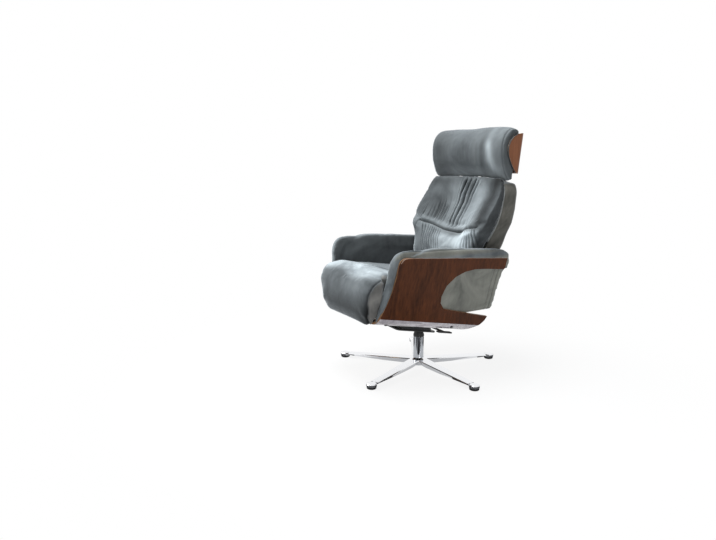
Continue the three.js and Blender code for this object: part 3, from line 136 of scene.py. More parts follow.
world = bpy.data.worlds.new("studio")
bpy.context.scene.world = world
tree = cleared_tree(world)
dim = add_node(tree, "ShaderNodeBackground", Color=(0.93, 0.96, 1.0, 1), Strength=0.40)
white = add_node(tree, "ShaderNodeBackground", Color=(1, 1, 1, 1), Strength=1.0)
mixed = add_node(tree, "ShaderNodeMixShader")
tree.links.new(seen_or_mirrored(tree), mixed.inputs[0])
tree.links.new(dim.outputs[0], mixed.inputs[1])
tree.links.new(white.outputs[0], mixed.inputs[2])
finish_tree(tree, mixed, "ShaderNodeOutputWorld")

# Dark cards
# Black flags stand behind the camera and beyond the feet, and grey ones lie on the floor,
# as a photographer sets them, so that polished metal shows dark bands beside bright ones.
def card_paint(name, color):
    material = bpy.data.materials.new(name)
    tree = cleared_tree(material)
    dull = add_node(tree, "ShaderNodeBsdfDiffuse", Color=(*color, 1))
    finish_tree(tree, dull)
    return material


def set_card(name, half_width, half_height, turn, place, material):
    """A flat card, turned and then moved, that only mirrors and glass can see."""
    mesh = bpy.data.meshes.new(name)
    build = bmesh.new()
    bmesh.ops.create_grid(build, x_segments=1, y_segments=1, size=1)
    bmesh.ops.scale(build, vec=(half_width, half_height, 1), verts=build.verts)
    bmesh.ops.rotate(build, matrix=turn.to_matrix(), verts=build.verts)
    bmesh.ops.translate(build, vec=place, verts=build.verts)
    build.to_mesh(mesh)
    build.free()
    card = bpy.data.objects.new(name, mesh)
    bpy.context.scene.collection.objects.link(card)
    card.visible_camera = False
    card.visible_diffuse = False
    card.visible_shadow = False
    mesh.materials.append(material)


black_card = card_paint("dark_card", (0.012, 0.012, 0.012))
for name, place in (("card_left", (-2.4, -2.6, 0.24)), ("card_right", (3.1, 1.4, 0.24))):
    facing = Vector((-place[0], -place[1], 0)).to_track_quat("Z", "Y")
    set_card(name, 0.8, 0.2, facing, place, black_card)

grey_card = card_paint("grey_card", (0.09, 0.09, 0.095))
toward_camera = Vector((stand.x, stand.y, 0)).normalized()
above_paper = Vector((0, 0, 0.002))
for name, turn, distance, half_width, half_length in (
    ("card_floor_front", 0, 0.80, 0.50, 0.62),
    ("card_floor_left", 126, 0.62, 0.24, 0.34),
    ("card_floor_right", -126, 0.62, 0.24, 0.34),
):
    aim = toward_camera.copy()
    aim.rotate(Euler((0, 0, math.radians(turn))))
    place = axis + aim * distance + above_paper
    set_card(name, half_width, half_length, aim.to_track_quat("Y", "Z"), place, grey_card)

# Lamps
# The main soft lamp stands in front and to the sitter's right, a second lights the tops
# from behind, and a weak one fills the near side.
seat_middle = Vector((0, 0, 0.5))
for name, place, size, power, color in (
    ("key_lamp", (-1.9, -2.0, 2.1), 1.5, 52, (1, 0.99, 0.97)),
    ("top_lamp", (-0.2, -0.5, 3.0), 1.5, 92, (0.97, 0.99, 1)),
    ("side_lamp", (2.9, -0.3, 1.5), 1.4, 18, (1, 0.97, 0.94)),
):
    light = bpy.data.lights.new(name, "AREA")
    light.size = size
    light.energy = power
    light.color = color
    lamp = bpy.data.objects.new(name, light)
    lamp.location = place
    lamp.rotation_euler = (seat_middle - lamp.location).to_track_quat("-Z", "Y").to_euler()
    bpy.context.scene.collection.objects.link(lamp)


# Star base
# One aluminium casting with five arms: the tops are polished bright, the flanks are left satin
# and painted darker as painted shade, and all its corners are slightly rounded.
body_of = {}
for body, cads in frame["record"]["behaviour"]["bodies"].items():
    for cad in cads:
        body_of[cad] = body


def smooth_step(value, start, stop):
    """0 up to start, 1 from stop on, and a smooth slope between."""
    share = np.clip((value - start) / (stop - start), 0, 1)
    return share * share * (3 - 2 * share)


def merged_build(cad):
    """The solid's triangles, with the corner points of neighbours joined."""
    build = bmesh.new()
    build.from_mesh(frame["nodes"][cad].data)
    bmesh.ops.remove_doubles(build, verts=build.verts, dist=1e-5)
    return build


def baked(piece):
    """The piece's modifiers made into its own mesh."""
    graph = bpy.context.evaluated_depsgraph_get()
    mesh = bpy.data.meshes.new_from_object(piece.evaluated_get(graph))
    piece.modifiers.clear()
    piece.data = mesh
    mesh.name = piece.name


flat_degrees = 0.5
satin_gain = 0.22


def dress(cad, material, bevel=0.0005, angle=34, mark=None):
    """The node's own shape with its corners merged and eased, shaded smooth."""
    build = merged_build(cad)
    bmesh.ops.dissolve_limit(
        build, angle_limit=math.radians(flat_degrees), verts=build.verts, edges=build.edges)
    corners = [
        edge for edge in build.edges
        if edge.is_manifold and edge.calc_face_angle(0) > math.radians(angle)
    ]
    bmesh.ops.bevel(
        build, geom=corners, offset=bevel, segments=2, profile=0.5, affect="EDGES",
        clamp_overlap=True, material=-1)
    mesh = bpy.data.meshes.new(f"{cad}_skin")
    build.to_mesh(mesh)
    build.free()
    mesh.polygons.foreach_set("use_smooth", [True] * len(mesh.polygons))
    mesh.set_sharp_from_angle(angle=math.radians(angle + 8))
    mesh.materials.append(material)
    tone = mesh.color_attributes.new("tone", "FLOAT_COLOR", "CORNER")
    values = np.zeros((len(mesh.loops), 4))
    values[:, 3] = 1
    if mark is not None:
        for face in mesh.polygons:
            values[face.loop_indices, :3] = mark(face)
    tone.data.foreach_set("color", values.ravel())
    skin = bpy.data.objects.new(f"{cad}_skin", mesh)
    bpy.context.scene.collection.objects.link(skin)
    weighted = skin.modifiers.new("weighted", "WEIGHTED_NORMAL")
    weighted.keep_sharp = True
    baked(skin)
    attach(skin, body_of[cad])
    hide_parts(cad)
    return skin


def metal(name, color, flank_satin_shade, roughness, haze):
    """Bare metal with a faint buffing haze; marked faces take a rougher satin finish and a darker
    colour, which is painted shade.
    """
    material = bpy.data.materials.new(name)
    tree = cleared_tree(material)
    place = add_node(tree, "ShaderNodeTexCoord").outputs["Object"]
    smear = add_node(tree, "ShaderNodeTexNoise", Scale=45.0, Detail=5.0, Roughness=0.6)
    tree.links.new(place, smear.inputs["Vector"])
    hazed = add_node(tree, "ShaderNodeMapRange", To_Min=roughness, To_Max=roughness + haze)
    tree.links.new(smear.outputs["Fac"], hazed.inputs["Value"])
    tone = add_node(tree, "ShaderNodeAttribute", attribute_name="tone")
    rough = add_node(tree, "ShaderNodeMath", operation="MULTIPLY_ADD")
    rough.inputs[1].default_value = satin_gain
    tree.links.new(tone.outputs["Fac"], rough.inputs[0])
    tree.links.new(hazed.outputs[0], rough.inputs[2])
    finish = add_node(tree, "ShaderNodeMix", data_type="RGBA")
    finish.inputs[6].default_value = (*color, 1)
    finish.inputs[7].default_value = (*flank_satin_shade, 1)
    tree.links.new(tone.outputs["Fac"], finish.inputs[0])
    bump = add_node(tree, "ShaderNodeBump", Strength=0.04, Distance=0.001)
    tree.links.new(smear.outputs["Fac"], bump.inputs["Height"])
    skin = add_node(tree, "ShaderNodeBsdfPrincipled", Metallic=1.0)
    tree.links.new(finish.outputs[2], skin.inputs["Base Color"])
    tree.links.new(rough.outputs[0], skin.inputs["Roughness"])
    tree.links.new(bump.outputs["Normal"], skin.inputs["Normal"])
    finish_tree(tree, skin)
    return material


def shaded_flank(face):
    """1 on the upright flanks of the arms, which take the painted shade, and 0 on their polished
    tops.
    """
    return 1.0 - smooth_step(abs(face.normal.z), 0.45, 0.75)


# The darker satin colour of the flanks is painted shade.
aluminium = metal(
    "polished_aluminium", color=(0.86, 0.87, 0.89), flank_satin_shade=(0.46, 0.47, 0.49),
    roughness=0.10, haze=0.08)
dress("star_base", aluminium, bevel=0.0015, mark=shaded_flank)

# Column
# A chromed steel tube pressed into the casting; the bolt below holds it,
# and nylon bushes and a washer inside let the seat turn.
unmarked = (0.3, 0.3, 0.3)
chrome = metal(
    "chrome", color=(0.45, 0.47, 0.50), flank_satin_shade=unmarked, roughness=0.06, haze=0.05)
zinc = metal(
    "zinc_steel", color=(0.52, 0.54, 0.55), flank_satin_shade=unmarked, roughness=0.28, haze=0.12)
dress("column_tube", chrome, bevel=0.0008)
dress("column_bolt", zinc)


def two_tone(tree, factor, dark, light, start, stop):
    """A ramp from one colour to the other between two values of the factor."""
    ramp = add_node(tree, "ShaderNodeValToRGB")
    for mark, place, color in zip(ramp.color_ramp.elements, (start, stop), (dark, light)):
        mark.position = place
        mark.color = (*color, 1)
    tree.links.new(factor, ramp.inputs["Fac"])
    return ramp.outputs["Color"]


def moulded(name, color, roughness, grain):
    """Satin paint or plastic with a fine grain and slightly worn, paler patches."""
    material = bpy.data.materials.new(name)
    tree = cleared_tree(material)
    place = add_node(tree, "ShaderNodeTexCoord").outputs["Object"]
    speck = add_node(tree, "ShaderNodeTexNoise", Scale=grain, Detail=3.0, Roughness=0.6)
    tree.links.new(place, speck.inputs["Vector"])
    wear = add_node(tree, "ShaderNodeTexNoise", Scale=30.0, Detail=4.0, Roughness=0.6)
    tree.links.new(place, wear.inputs["Vector"])
    worn = [channel * 1.5 for channel in color]
    paint = two_tone(tree, wear.outputs["Fac"], color, worn, 0.35, 0.8)
    bump = add_node(tree, "ShaderNodeBump", Strength=0.2, Distance=0.0004)
    tree.links.new(speck.outputs["Fac"], bump.inputs["Height"])
    skin = add_node(tree, "ShaderNodeBsdfPrincipled", Roughness=roughness)
    tree.links.new(paint, skin.inputs["Base Color"])
    tree.links.new(bump.outputs["Normal"], skin.inputs["Normal"])
    finish_tree(tree, skin)
    return material


nylon = moulded("nylon", (0.62, 0.60, 0.55), roughness=0.5, grain=900)
for cad in ("thrust_washer", "lower_bush", "upper_bush"):
    dress(cad, nylon)

# Glides
# Round moulded feet of black plastic, one fixed under the end of each arm, so that the
# casting doesn't mark the floor.
black_plastic = moulded("black_plastic", (0.014, 0.0145, 0.015), roughness=0.5, grain=1400)
for number in range(1, 6):
    dress(f"glide_{number}", black_plastic)

# Swivel and under-seat frame
# A turned spindle with a black collar carries a pressed plate, its housing, two cross
# members, rails and a ply deck, all powder-coated black and bolted together.
black_steel = moulded("black_steel", (0.012, 0.0125, 0.014), roughness=0.4, grain=700)
coats = {
    "black_steel": black_steel,
    "black_plastic": black_plastic,
    "zinc_steel": zinc,
    "chrome": chrome,
}
slot_of = {part["node"]: part["material_slot"] for part in frame["record"]["subparts"]}
for cad in (
    "swivel_spindle", "spindle_collar", "mechanism_plate", "mechanism_housing",
    "front_cross_member", "rear_cross_member", "seat_rail_left", "seat_rail_right",
    "shell_bolt_front_left", "shell_bolt_front_right", "shell_bolt_rear_left",
    "shell_bolt_rear_right", "bend_bolt_front_left", "bend_bolt_front_right",
    "bend_bolt_rear_left", "bend_bolt_rear_right", "recline_pin_left", "recline_pin_right",
    "gas_spring_cylinder", "gas_spring_rod", "gas_spring_bracket", "gas_spring_front_pin",
    "gas_spring_rear_pin",
):
    dress(cad, coats[slot_of[cad]])


def timber(name, dark, light, edge, across, along, coat):
    """Veneer with long grain up its z direction; marked faces show the cut ply."""
    material = bpy.data.materials.new(name)
    tree = cleared_tree(material)
    place = add_node(tree, "ShaderNodeTexCoord").outputs["Object"]
    stretch = add_node(tree, "ShaderNodeMapping")
    stretch.inputs["Scale"].default_value = (across, across, along)
    tree.links.new(place, stretch.inputs["Vector"])
    grain = add_node(
        tree, "ShaderNodeTexNoise", Scale=1.0, Detail=8.0, Roughness=0.62, Distortion=0.35)
    tree.links.new(stretch.outputs[0], grain.inputs["Vector"])
    broad = add_node(tree, "ShaderNodeMapping")
    broad.inputs["Scale"].default_value = (across / 9, across / 9, along / 4)
    tree.links.new(place, broad.inputs["Vector"])
    figure = add_node(
        tree, "ShaderNodeTexNoise", Scale=1.0, Detail=3.0, Roughness=0.5, Distortion=1.2)
    tree.links.new(broad.outputs[0], figure.inputs["Vector"])
    both = add_node(tree, "ShaderNodeMix", data_type="FLOAT")
    both.inputs[0].default_value = 0.45
    tree.links.new(grain.outputs["Fac"], both.inputs[2])
    tree.links.new(figure.outputs["Fac"], both.inputs[3])
    veneer = two_tone(tree, both.outputs[0], dark, light, 0.34, 0.66)
    tone = add_node(tree, "ShaderNodeAttribute", attribute_name="tone")
    cut = add_node(tree, "ShaderNodeMix", data_type="RGBA")
    cut.inputs[7].default_value = (*edge, 1)
    tree.links.new(tone.outputs["Fac"], cut.inputs[0])
    tree.links.new(veneer, cut.inputs[6])
    pores = add_node(tree, "ShaderNodeBump", Strength=0.12, Distance=0.0006)
    tree.links.new(grain.outputs["Fac"], pores.inputs["Height"])
    skin = add_node(
        tree, "ShaderNodeBsdfPrincipled", Roughness=0.42, Specular_IOR_Level=0.13,
        Coat_Weight=coat, Coat_Roughness=0.1)
    tree.links.new(cut.outputs[2], skin.inputs["Base Color"])
    tree.links.new(pores.outputs["Normal"], skin.inputs["Normal"])
    finish_tree(tree, skin)
    return material


birch = timber(
    "birch_ply", dark=(0.48, 0.34, 0.20), light=(0.66, 0.50, 0.33), edge=(0.60, 0.45, 0.30),
    across=60, along=60, coat=0.0)
dress("seat_deck", birch)
dress("recline_lever", black_plastic, bevel=0.0008)

# Walnut sides
# Ply bent under at the foot and faced in dark walnut, the grain running up; lacquered,
# with the pale layers of the ply showing along the cut front edge. The faces that bend under
# the foot are painted pale grey under a strong coat: a painted reflection of the white floor.
walnut_ply = (0.27, 0.15, 0.08)
walnut = timber(
    "walnut", dark=(0.024, 0.0075, 0.0028), light=(0.098, 0.029, 0.0090), edge=walnut_ply,
    across=130, along=5, coat=0.0)
# Painted reflection: a pale grey walnut that stands in for the white floor mirrored in the foot.
lacquer_painted_reflection = timber(
    "walnut_lacquer_painted_reflection", dark=(0.22, 0.20, 0.22), light=(0.50, 0.47, 0.50), edge=walnut_ply,
    across=130, along=5, coat=1.0)
lacquer_painted_reflection.node_tree.nodes["Principled BSDF"].inputs["Coat IOR"].default_value = 2.0


def cut_edge(face):
    """1 on the narrow faces where the ply is sawn through, and 0 on the veneer."""
    narrow = face.area < 0.004 and abs(face.normal.x) < 0.35
    return 1.0 if narrow and face.normal.z > -0.9 else 0.0


for hand in ("left", "right"):
    shell = dress(f"side_shell_{hand}", walnut, bevel=0.0012, angle=30, mark=cut_edge)
    shell.data.materials.append(lacquer_painted_reflection)
    # The faces that turn down under the foot take the painted reflection.
    for face in shell.data.polygons:
        if face.normal.z < -0.35 and abs(face.normal.x) > 0.15:
            face.material_index = 1


# Arm pads
# Foam slabs inside the sides. Their velvet is rolled into a thick rim that runs up the
# walnut's front edge and over its top, with one long seam a finger's width above it.
def velvet(name, deep, pale, sheen):
    """Short-pile velvet, brushed in soft clouds, shining where it is seen edge on; the tone
    attribute multiplies in each piece's painted light and shade.
    """
    material = bpy.data.materials.new(name)
    tree = cleared_tree(material)
    place = add_node(tree, "ShaderNodeTexCoord").outputs["Object"]
    clouds = add_node(
        tree, "ShaderNodeTexNoise", Scale=5.0, Detail=4.0, Roughness=0.58, Distortion=0.9)
    tree.links.new(place, clouds.inputs["Vector"])
    drawn = add_node(tree, "ShaderNodeMapping")
    drawn.inputs["Scale"].default_value = (60, 60, 9)
    tree.links.new(place, drawn.inputs["Vector"])
    brushed = add_node(tree, "ShaderNodeTexNoise", Scale=1.0, Detail=4.0, Roughness=0.6)
    tree.links.new(drawn.outputs[0], brushed.inputs["Vector"])
    both = add_node(tree, "ShaderNodeMix", data_type="FLOAT")
    both.inputs[0].default_value = 0.14
    tree.links.new(clouds.outputs["Fac"], both.inputs[2])
    tree.links.new(brushed.outputs["Fac"], both.inputs[3])
    pile = two_tone(tree, both.outputs[0], deep, pale, 0.34, 0.66)
    # The tone attribute carries the painted light and shade of each piece.
    tone = add_node(tree, "ShaderNodeAttribute", attribute_name="tone")
    shaded = add_node(tree, "ShaderNodeMix", data_type="RGBA", blend_type="MULTIPLY")
    shaded.inputs[0].default_value = 1.0
    tree.links.new(pile, shaded.inputs[6])
    tree.links.new(tone.outputs["Color"], shaded.inputs[7])
    creased = add_node(
        tree, "ShaderNodeTexNoise", Scale=30.0, Detail=4.0, Roughness=0.55, Distortion=0.6)
    tree.links.new(place, creased.inputs["Vector"])
    soft = add_node(tree, "ShaderNodeBump", Strength=0.16, Distance=0.005)
    tree.links.new(creased.outputs["Fac"], soft.inputs["Height"])
    nap = add_node(tree, "ShaderNodeTexNoise", Scale=900.0, Detail=2.0, Roughness=0.7)
    tree.links.new(place, nap.inputs["Vector"])
    fine = add_node(tree, "ShaderNodeBump", Strength=0.35, Distance=0.0006)
    tree.links.new(nap.outputs["Fac"], fine.inputs["Height"])
    tree.links.new(soft.outputs["Normal"], fine.inputs["Normal"])
    skin = add_node(
        tree, "ShaderNodeBsdfPrincipled", Roughness=0.85, Specular_IOR_Level=0.2,
        Sheen_Weight=sheen, Sheen_Roughness=0.28, Sheen_Tint=(0.86, 0.94, 1.0, 1))
    tree.links.new(shaded.outputs[2], skin.inputs["Base Color"])
    tree.links.new(fine.outputs["Normal"], skin.inputs["Normal"])
    finish_tree(tree, skin)
    return material


front_velvet = velvet(
    "velvet", deep=(0.068, 0.077, 0.083), pale=(0.185, 0.207, 0.218), sheen=1.0)


def linked(name, mesh):
    piece = bpy.data.objects.new(name, mesh)
    bpy.context.scene.collection.objects.link(piece)
    return piece


def remeshed(piece, voxel, rounds):
    remesh = piece.modifiers.new("remesh", "REMESH")
    remesh.mode = "VOXEL"
    remesh.voxel_size = voxel
    ease = piece.modifiers.new("ease", "SMOOTH")
    ease.factor = 0.5
    ease.iterations = rounds
    baked(piece)


def points_of(piece):
    places = np.empty(len(piece.data.vertices) * 3)
    normals = np.empty(len(piece.data.vertices) * 3)
    piece.data.vertices.foreach_get("co", places)
    piece.data.vertices.foreach_get("normal", normals)
    return places.reshape(-1, 3), normals.reshape(-1, 3)


def set_points(piece, places):
    piece.data.vertices.foreach_set("co", places.ravel())
    piece.data.update()


def puffed(piece, cap, slack):
    """Cloth swells over the foam; no point moves further than the cap."""
    start, _ = points_of(piece)
    cloth = piece.modifiers.new("cloth", "CLOTH")
    cloth.settings.quality = 4
    cloth.settings.mass = 0.3
    cloth.settings.tension_stiffness = 12
    cloth.settings.compression_stiffness = 12
    cloth.settings.shear_stiffness = 4
    cloth.settings.bending_stiffness = 0.25
    cloth.settings.use_pressure = True
    cloth.settings.uniform_pressure_force = 4
    cloth.settings.shrink_min = -slack
    cloth.settings.effector_weights.gravity = 0
    cloth.collision_settings.use_collision = False
    cloth.collision_settings.use_self_collision = False
    for step in range(1, 15):
        bpy.context.scene.frame_set(step)
    baked(piece)
    bpy.context.scene.frame_set(1)
    moved, _ = points_of(piece)
    shift = moved - start
    length = np.linalg.norm(shift, axis=1, keepdims=True)
    set_points(piece, start + shift * np.minimum(1, cap / np.maximum(length, 1e-9)))


def refined(piece):
    finer = piece.modifiers.new("finer", "SUBSURF")
    finer.levels = 1
    finer.render_levels = 1
    baked(piece)


def ridge(distance, width):
    """1 on a line, falling off smoothly to 0 at about two widths from it."""
    return np.exp(-(distance / width) ** 2)


def finish_soft(piece, material, tint, body, cad):
    """Material, tones (mostly painted light and shade) and the links of a soft piece to its body
    and its CAD node.
    """
    mesh = piece.data
    mesh.materials.clear()
    mesh.materials.append(material)
    mesh.polygons.foreach_set("use_smooth", [True] * len(mesh.polygons))
    tone = mesh.color_attributes.new("tone", "FLOAT_COLOR", "POINT")
    values = np.ones((len(mesh.vertices), 4))
    values[:, :3] = tint if tint.ndim == 2 else tint[:, None]
    tone.data.foreach_set("color", values.ravel())
    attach(piece, body)
    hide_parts(cad)


def rope(name, points, radii):
    """A round tube along the points, as a mesh."""
    curve = bpy.data.curves.new(name, "CURVE")
    curve.dimensions = "3D"
    curve.bevel_depth = 1
    curve.bevel_resolution = 5
    curve.resolution_u = 6
    curve.use_fill_caps = True
    spline = curve.splines.new("NURBS")
    spline.points.add(len(points) - 1)
    spline.use_endpoint_u = True
    spline.order_u = 4
    for point, place, radius in zip(spline.points, points, radii):
        point.co = (*place, 1)
        point.radius = radius
    holder = linked(name, curve)
    graph = bpy.context.evaluated_depsgraph_get()
    mesh = bpy.data.meshes.new_from_object(holder.evaluated_get(graph))
    bpy.data.objects.remove(holder)
    return mesh


rim_path = (
    (0.200, -0.340, 0.286, 0.008), (0.208, -0.332, 0.315, 0.010), (0.215, -0.323, 0.350, 0.012),
    (0.223, -0.311, 0.400, 0.014), (0.231, -0.301, 0.450, 0.0155), (0.238, -0.295, 0.495, 0.0165),
    (0.245, -0.287, 0.530, 0.0175), (0.250, -0.268, 0.552, 0.018), (0.253, -0.240, 0.557, 0.017),
    (0.256, -0.200, 0.559, 0.014), (0.260, -0.140, 0.560, 0.010),
)
rim_backing = (
    (0.197, -0.322, 0.290, 0.007), (0.203, -0.316, 0.320, 0.009), (0.211, -0.306, 0.355, 0.011),
    (0.219, -0.295, 0.400, 0.012), (0.227, -0.286, 0.450, 0.0135), (0.234, -0.279, 0.490, 0.015),
    (0.242, -0.268, 0.525, 0.0165), (0.247, -0.240, 0.545, 0.0165), (0.252, -0.200, 0.552, 0.014),
    (0.256, -0.150, 0.556, 0.010),
)
for hand, sign in (("left", 1), ("right", -1)):
    build = merged_build(f"arm_pad_{hand}")
    for path in (rim_path, rim_backing):
        line = [(axis.x + sign * x, axis.y + y, z) for x, y, z, r in path]
        build.from_mesh(rope("rim", line, [r for x, y, z, r in path]))
    bmesh.ops.recalc_face_normals(build, faces=build.faces)
    mesh = bpy.data.meshes.new(f"arm_pad_{hand}_cover")
    build.to_mesh(mesh)
    build.free()
    pad = linked(f"arm_pad_{hand}_cover", mesh)
    remeshed(pad, voxel=0.006, rounds=6)
    puffed(pad, cap=0.003, slack=0.012)
    refined(pad)
    places, normals = points_of(pad)
    sideways = normals[:, 0] * sign
    outward = smooth_step(sideways, 0.3, 0.8)
    y = places[:, 1] - axis.y
    z = places[:, 2]
    along_top = smooth_step(z, 0.53, 0.55) * smooth_step(y, -0.26, -0.22)
    seam = ridge(z - 0.563 + 0.02 * y, 0.0026) * along_top
    seam = seam * smooth_step(sideways, 0.2, 0.5)
    ripple = np.sin(46 * y + 2 * np.sin(31 * y)) * 0.0006 * smooth_step(z, 0.50, 0.54)
    soft = 0.0012 * np.sin(17 * y + 23 * z + 2 * np.sin(12 * z)) * (1 - smooth_step(z, 0.50, 0.54))
    rear_line = 0.262 - 0.10 * (0.50 - z) - y
    tucks = ridge(rear_line - 0.030, 0.004) + 0.7 * ridge(rear_line - 0.052, 0.004)
    tucks = tucks * smooth_step(sideways, 0.4, 0.8) * (1 - smooth_step(z, 0.49, 0.51))
    set_points(pad, places + normals * (ripple + soft - 0.003 * seam - 0.005 * tucks)[:, None])
    # Painted light and shade: the inner faces darkened, the front faces and the velvet in the
    # notch lightened, and the seam and tucks darkened as painted shade in their grooves.
    inner = smooth_step(-sideways, 0.3, 0.8)
    front = smooth_step(-normals[:, 1], 0.3, 0.8)
    tint = (1 - 0.5 * seam) * (1 - 0.35 * tucks) * (1 - 0.68 * inner) * (1 + 0.30 * front)
    notch = (1 - smooth_step(z, 0.51, 0.53)) * outward * smooth_step(y, -0.12, -0.08)
    warm = np.maximum(notch, outward * smooth_step(z, 0.53, 0.55))
    tint = tint * (1 + 0.30 * notch + 0.05 * warm)
    tint = np.stack([tint * (1 + 0.10 * warm), tint, tint * (1 - 0.16 * warm)], 1)
    finish_soft(pad, front_velvet, tint, "seat", f"arm_pad_{hand}")


# Walnut edge beads
# The rounded-over top edge of each side, lacquered, in a walnut painted far paler than the sides:
# a painted highlight in a thin line under the rim; it ends in the polished front corner.
def fitted_cord(name, points, radius, material, body):
    """A smooth round cord along the points, riding on a body."""
    mesh = rope(name, points, [radius] * len(points))
    cord = linked(name, mesh)
    mesh.materials.clear()
    mesh.materials.append(material)
    mesh.polygons.foreach_set("use_smooth", [True] * len(mesh.polygons))
    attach(cord, body)
    return cord


# The pale walnut of the bead is a painted highlight.
bead_painted_highlight = timber(
    "walnut_edge", dark=(0.22, 0.12, 0.08), light=(0.36, 0.22, 0.15), edge=(0.5, 0.3, 0.2),
    across=60, along=60, coat=1.0)
bead_radius = 0.0013
bead_path = (
    (0.2708, -0.2755, 0.526), (0.2720, -0.2690, 0.537), (0.2728, -0.2580, 0.5435),
    (0.2728, -0.2400, 0.5440), (0.2718, -0.2000, 0.5410), (0.2708, -0.1500, 0.5370),
    (0.2700, -0.1000, 0.5330), (0.2686, 0.0000, 0.5260), (0.2672, 0.1000, 0.5180),
    (0.2654, 0.2000, 0.5100), (0.2646, 0.2500, 0.5060),
)
for hand, sign in (("left", 1), ("right", -1)):
    line = [(axis.x + sign * x, axis.y + y, z) for x, y, z in bead_path]
    fitted_cord(f"walnut_edge_{hand}", line, bead_radius, bead_painted_highlight, "seat")

# Seat cushion
# Foam with a rolled front under tight velvet. A sewn gusset closes each side of the roll,
# a crease crosses the top behind it, and the cloth pulls in soft folds from the corners.
def cushion(name, cad, voxel, rounds, reshape=None, cap=0, slack=0, subdivide=True):
    """A soft copy of a CAD piece: reshaped, remeshed, swollen as cloth, refined."""
    build = merged_build(cad)
    mesh = bpy.data.meshes.new(name)
    build.to_mesh(mesh)
    build.free()
    piece = linked(name, mesh)
    if reshape is not None:
        places, normals = points_of(piece)
        set_points(piece, reshape(places, normals))
    remeshed(piece, voxel, rounds)
    if cap:
        puffed(piece, cap, slack)
    if subdivide:
        refined(piece)
    return piece


seat = cushion(
    "seat_cushion_cover", "seat_cushion", voxel=0.007, rounds=8, cap=0.003, slack=0.015)
places, normals = points_of(seat)
x = places[:, 0] - axis.x
y = places[:, 1] - axis.y
z = places[:, 2]
rail_height, half_width, side_lean = 0.474, 0.233, math.radians(12)
beside = np.abs(x) - (half_width - (rail_height - z) * math.tan(side_lean))
sideways = smooth_step(np.abs(normals[:, 0]), 0.55, 0.85)
in_front = smooth_step(-y, 0.27, 0.31)
seam = ridge(beside + 0.012, 0.0035) * (1 - sideways) * in_front
welt = ridge(beside + 0.005, 0.004) * (1 - sideways) * in_front
crease = ridge(y + 0.235 - 0.25 * x * smooth_step(x, -0.1, 0.2), 0.007)
crease = crease * smooth_step(normals[:, 2], 0.4, 0.8)
folds = np.sin(38 * x + 14 * z + 2.2 * np.sin(9 * x)) * ridge(z - 0.44, 0.05)
folds = folds * smooth_step(-y, 0.28, 0.34)
pull = np.sin(70 * (z + 0.8 * np.abs(x))) * ridge(beside + 0.03, 0.03) * in_front
sag = np.sin(13 * x + 4 * np.sin(8 * z)) * np.sin(9 * z + 7 * y + 1)
push = -0.0045 * seam + 0.0018 * welt - 0.006 * crease
push = push + 0.0016 * folds + 0.0014 * pull + 0.0018 * sag
set_points(seat, places + normals * push[:, None])
# Painted light and shade: the seam and crease darkened as painted shade, the lower front darkened
# as painted shade under the roll, the fold crests lightened, the top band lightened as a painted
# highlight, and the rest of the front darkened.
gusset = sideways * in_front
shaded_low_front = in_front * (1 - smooth_step(z, 0.32, 0.425)) * (1 - gusset)
lit = smooth_step(z + 0.006 * np.sin(23 * x), 0.445, 0.478) * smooth_step(-y, 0.20, 0.27)
shade = (1 - 0.5 * seam - 0.4 * crease) * (1 - 0.84 * shaded_low_front)
shade = shade * (1 + 0.10 * folds) * (1 + 2.0 * lit)
shade = shade * (1 - 0.12 * in_front * (1 - lit))
gusset_warmth = (0.65, 0.45, 0.3)
tint = np.stack([shade * (1 + warmth * gusset) for warmth in gusset_warmth], 1)
finish_soft(seat, front_velvet, tint, "seat", "seat_cushion")

# Torque tube and bars of the back
# Black steel arms that swing on the recline pins and carry the rigid outer back, and the
# plate with two sleeves, screwed to it, in which the headrest slides.
for cad in (
    "back_bar_left", "back_bar_right", "back_torque_tube", "headrest_guide_plate",
    "headrest_guide_left", "headrest_guide_right",
):
    dress(cad, coats[slot_of[cad]])

# Outer back
# Velvet stretched over the rigid pan, olive-grey where the pile lies away from the light,
# its upper corners rounded off.
shade_velvet = velvet(
    "velvet_shade", deep=(0.062, 0.061, 0.054), pale=(0.175, 0.170, 0.150), sheen=0.9)


def round_shoulders(places, fall=0.015):
    """The upper corners of the back, drawn in to a round; the top falls to each side."""
    start, stop, draw, half_width = 0.775, 0.842, 0.042, 0.25
    climb = np.clip((places[:, 2] - start) / (stop - start), 0, 1)
    inward = draw * (1 - np.sqrt(1 - climb ** 2)) / half_width
    slope = smooth_step(np.abs(places[:, 0] - axis.x), 0.12, 0.225)
    places[:, 2] -= fall * slope * smooth_step(places[:, 2], 0.76, 0.83)
    places[:, 0] = axis.x + (places[:, 0] - axis.x) * (1 - inward)
    return places


cover = cushion("back_shell_cover", "back_shell", voxel=0.0045, rounds=3, subdivide=False)
places, normals = points_of(cover)
places = round_shoulders(places)
# Its top stays a little below the top of the cushion.
places[:, 2] -= 0.004 * smooth_step(places[:, 2], 0.80, 0.825)
x = places[:, 0] - axis.x
y = places[:, 1] - axis.y
z = places[:, 2]
ripple = np.sin(26 * z + 4 * np.sin(9 * z + 6 * x)) * ridge(np.abs(x) - 0.22, 0.06)
behind = smooth_step(normals[:, 1], 0.5, 0.8)
middle_seam = ridge(x, 0.0025) * behind
set_points(cover, places + normals * (0.0013 * ripple - 0.002 * middle_seam)[:, None])
# The middle seam is darkened as painted shade in its groove.
finish_soft(cover, shade_velvet, 1 - 0.4 * middle_seam, "back", "back_shell")


